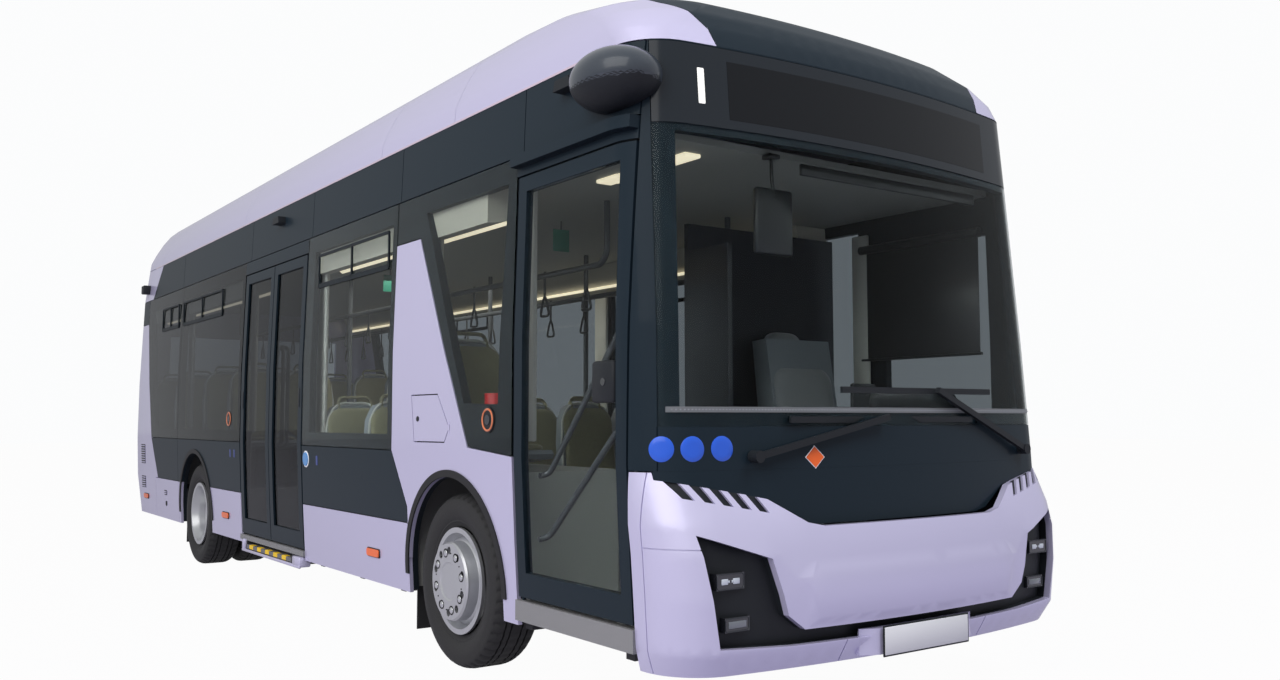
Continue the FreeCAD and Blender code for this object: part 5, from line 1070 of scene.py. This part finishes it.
# Near-black painted shadow for the coins in the cover's holes and at its screws.
hole_black = finish("hole_black", (0.006, 0.006, 0.007), 0.0, 0.6)
cover_y, cover_ring = tyre_y + 0.172, 0.141
for side, sign in wheel_sides:
    body, face = "front_wheel_" + side, sign * cover_y
    holes = around_hub(coin(face, sign, 0.0225), front_x, cover_ring, 8, 24, 0.25)
    caps = around_hub(dome(face, sign, 0.0165, 0.0075), front_x + 0.003, 0.1405, 8, 20, 0.25)
    screws = around_hub(coin(face, sign, 0.0035), front_x, cover_ring, 8, 24, 0.64)
    piece("cover_holes_" + side, [holes], hole_black, body)
    piece("cover_nuts_" + side, [caps], chrome, body)
    piece("cover_screws_" + side, [screws], hole_black, body)
    lip = [(0.2365 + 0.0035 * math.cos(t), sign * (tyre_y + 0.1145) + 0.0035 * math.sin(t))
           for t in np.arange(8) * math.pi / 4]
    piece("front_rim_line_" + side, [spun(lip, (front_x, 0, axle_z), 64)], chrome, body)

    body, foot = "rear_wheels_" + side, tyre_y - twin / 2 + 0.012
    nut = [(r, sign * (foot + out)) for r, out in ((0, 0.034), (0.012, 0.034), (0.016, 0.0272), (0.016, 0),
                                                   (0, 0))]
    hub = [(r, sign * (tyre_y + out)) for r, out in ((0, 0.02), (0.075, 0.02), (0.090, 0.005),
                                                     (0.098, -0.10), (0, -0.10))]
    piece("rear_nuts_" + side, [around_hub(nut, rear_x, 0.1425, 10, 6)], chrome, body)
    piece("rear_hub_" + side, [spun(hub, (rear_x, 0, axle_z), 40)], chassis_black, body)

# %% [markdown]
# ## Camera and light
# The camera stands where the photograph was taken from: a little over a metre high,
# off the front right corner, looking slightly up. Its lens is 1097.8 pixels long over a
# picture 1280 pixels wide, which on a sensor of 36 mm makes about 31 mm.

# %% Camera
eye = bpy.data.objects.new("camera", bpy.data.cameras.new("camera"))
bpy.context.collection.objects.link(eye)
yaw, pitch, roll = math.radians(35.87), math.radians(4.14), math.radians(-0.09)
look = Vector((-math.cos(yaw) * math.cos(pitch), math.sin(yaw) * math.cos(pitch), math.sin(pitch)))
eye.location = (7.758, -3.675, 1.230)
eye.rotation_mode = "QUATERNION"
eye.rotation_quaternion = look.to_track_quat("-Z", "Y") @ Matrix.Rotation(roll, 3, "Z").to_quaternion()
eye.data.sensor_width = 36
eye.data.lens = 36 * 1097.8 / 1280
eye.data.clip_end = 200
bpy.context.scene.camera = eye
bpy.context.scene.view_settings.view_transform = "Standard"
print("camera at", tuple(eye.location), "lens", round(eye.data.lens, 2))

# %% [markdown]
# Large soft lamps stand in for a bright overcast sky. The two strongest don't show in
# gloss, where their squares would look like patches; a weak one beside them does, and
# gives the paint its soft highlight. A small lamp stands in for the saloon's lights.

# %% Lamps
def lamp(name, place, target, size, power, colour):
    """A square area lamp that looks at a target."""
    data = bpy.data.lights.new(name, "AREA")
    data.size, data.energy, data.color = size, power, colour
    thing = bpy.data.objects.new(name, data)
    bpy.context.collection.objects.link(thing)
    thing.location = place
    thing.rotation_mode = "QUATERNION"
    thing.rotation_quaternion = (Vector(target) - Vector(place)).to_track_quat("-Z", "Y")
    return thing


daylight = (1.0, 0.985, 0.96)
key = lamp("key", (5, -12, 8), (0.5, 0, 1.4), 11, 1700, daylight)
key.visible_glossy = False
lamp("soft_gleam", (8, -10, 9), (1, 0, 1.4), 11, 450, daylight)
fill = lamp("front_fill", (10, 4, 12), (3, 0, 1.2), 7, 1350, (0.98, 0.97, 1.0))
fill.visible_glossy = False
glow = lamp("saloon_glow", (0, 0, 2.3), (0, 0, 0), 1.2, 25, (1.0, 0.95, 0.86))
glow.visible_camera = glow.visible_transmission = glow.visible_glossy = False

# %% [markdown]
# The pale floor and the sky are near white to the camera. Light Path tells the camera's
# rays from the rest, so the paint is lit by a softer sky than the one that is seen,
# and a share of that white also shows in mirrors and through glass.

# %% Floor and sky
def fed(tree, kind, values, operation=None):
    """The output of a new node whose inputs, in order, each take a number or another node's output."""
    node = add(tree, kind)
    if operation:
        node.operation = operation
    for socket, value in zip(node.inputs, values):
        if isinstance(value, float):
            socket.default_value = value
        else:
            tree.links.new(value, socket)
    return node.outputs[0]


def seen_straight(tree):
    """1 for the camera's rays, and a share for rays in a mirror or through glass, which see it dimmed."""
    ray = add(tree, "LightPath")
    value = ray.outputs["Is Camera Ray"]
    for kind, share in (("Is Transmission Ray", 0.35), ("Is Glossy Ray", 0.30)):
        dimmed = fed(tree, "Math", (ray.outputs[kind], share), "MULTIPLY")
        value = fed(tree, "Math", (value, dimmed), "MAXIMUM")
    return value


floor = bpy.data.objects.new("floor", bpy.data.meshes.new("floor"))
bpy.context.collection.objects.link(floor)
corners = [(x, y, -0.001) for x, y in ((-60, -60), (60, -60), (60, 60), (-60, 60))]
floor.data.from_pydata(corners, [], [(0, 1, 2, 3)])
pale = finish("pale_floor", (0.30, 0.28, 0.38), 0.0, 0.7)
tree = pale.node_tree
white = add(tree, "Emission", Color=(1, 1, 1, 1), Strength=1.0)
share = fed(tree, "Math", (seen_straight(tree), 0.97), "MULTIPLY")
floor_look = fed(tree, "MixShader", (share, tree.nodes["Principled BSDF"].outputs[0], white.outputs[0]))
tree.links.new(floor_look, tree.nodes["Material Output"].inputs["Surface"])
floor.data.materials.append(pale)

world = bpy.data.worlds.new("sky")
bpy.context.scene.world = world
world.use_nodes = True
tree = world.node_tree
sky = tree.nodes["Background"]
set_sockets(sky, {"Color": (0.88, 0.91, 0.96, 1), "Strength": 0.36})
seen = add(tree, "Background", Color=(0.97, 0.975, 0.98, 1))
sky_look = fed(tree, "MixShader", (seen_straight(tree), sky.outputs[0], seen.outputs[0]))
tree.links.new(sky_look, tree.nodes["World Output"].inputs["Surface"])
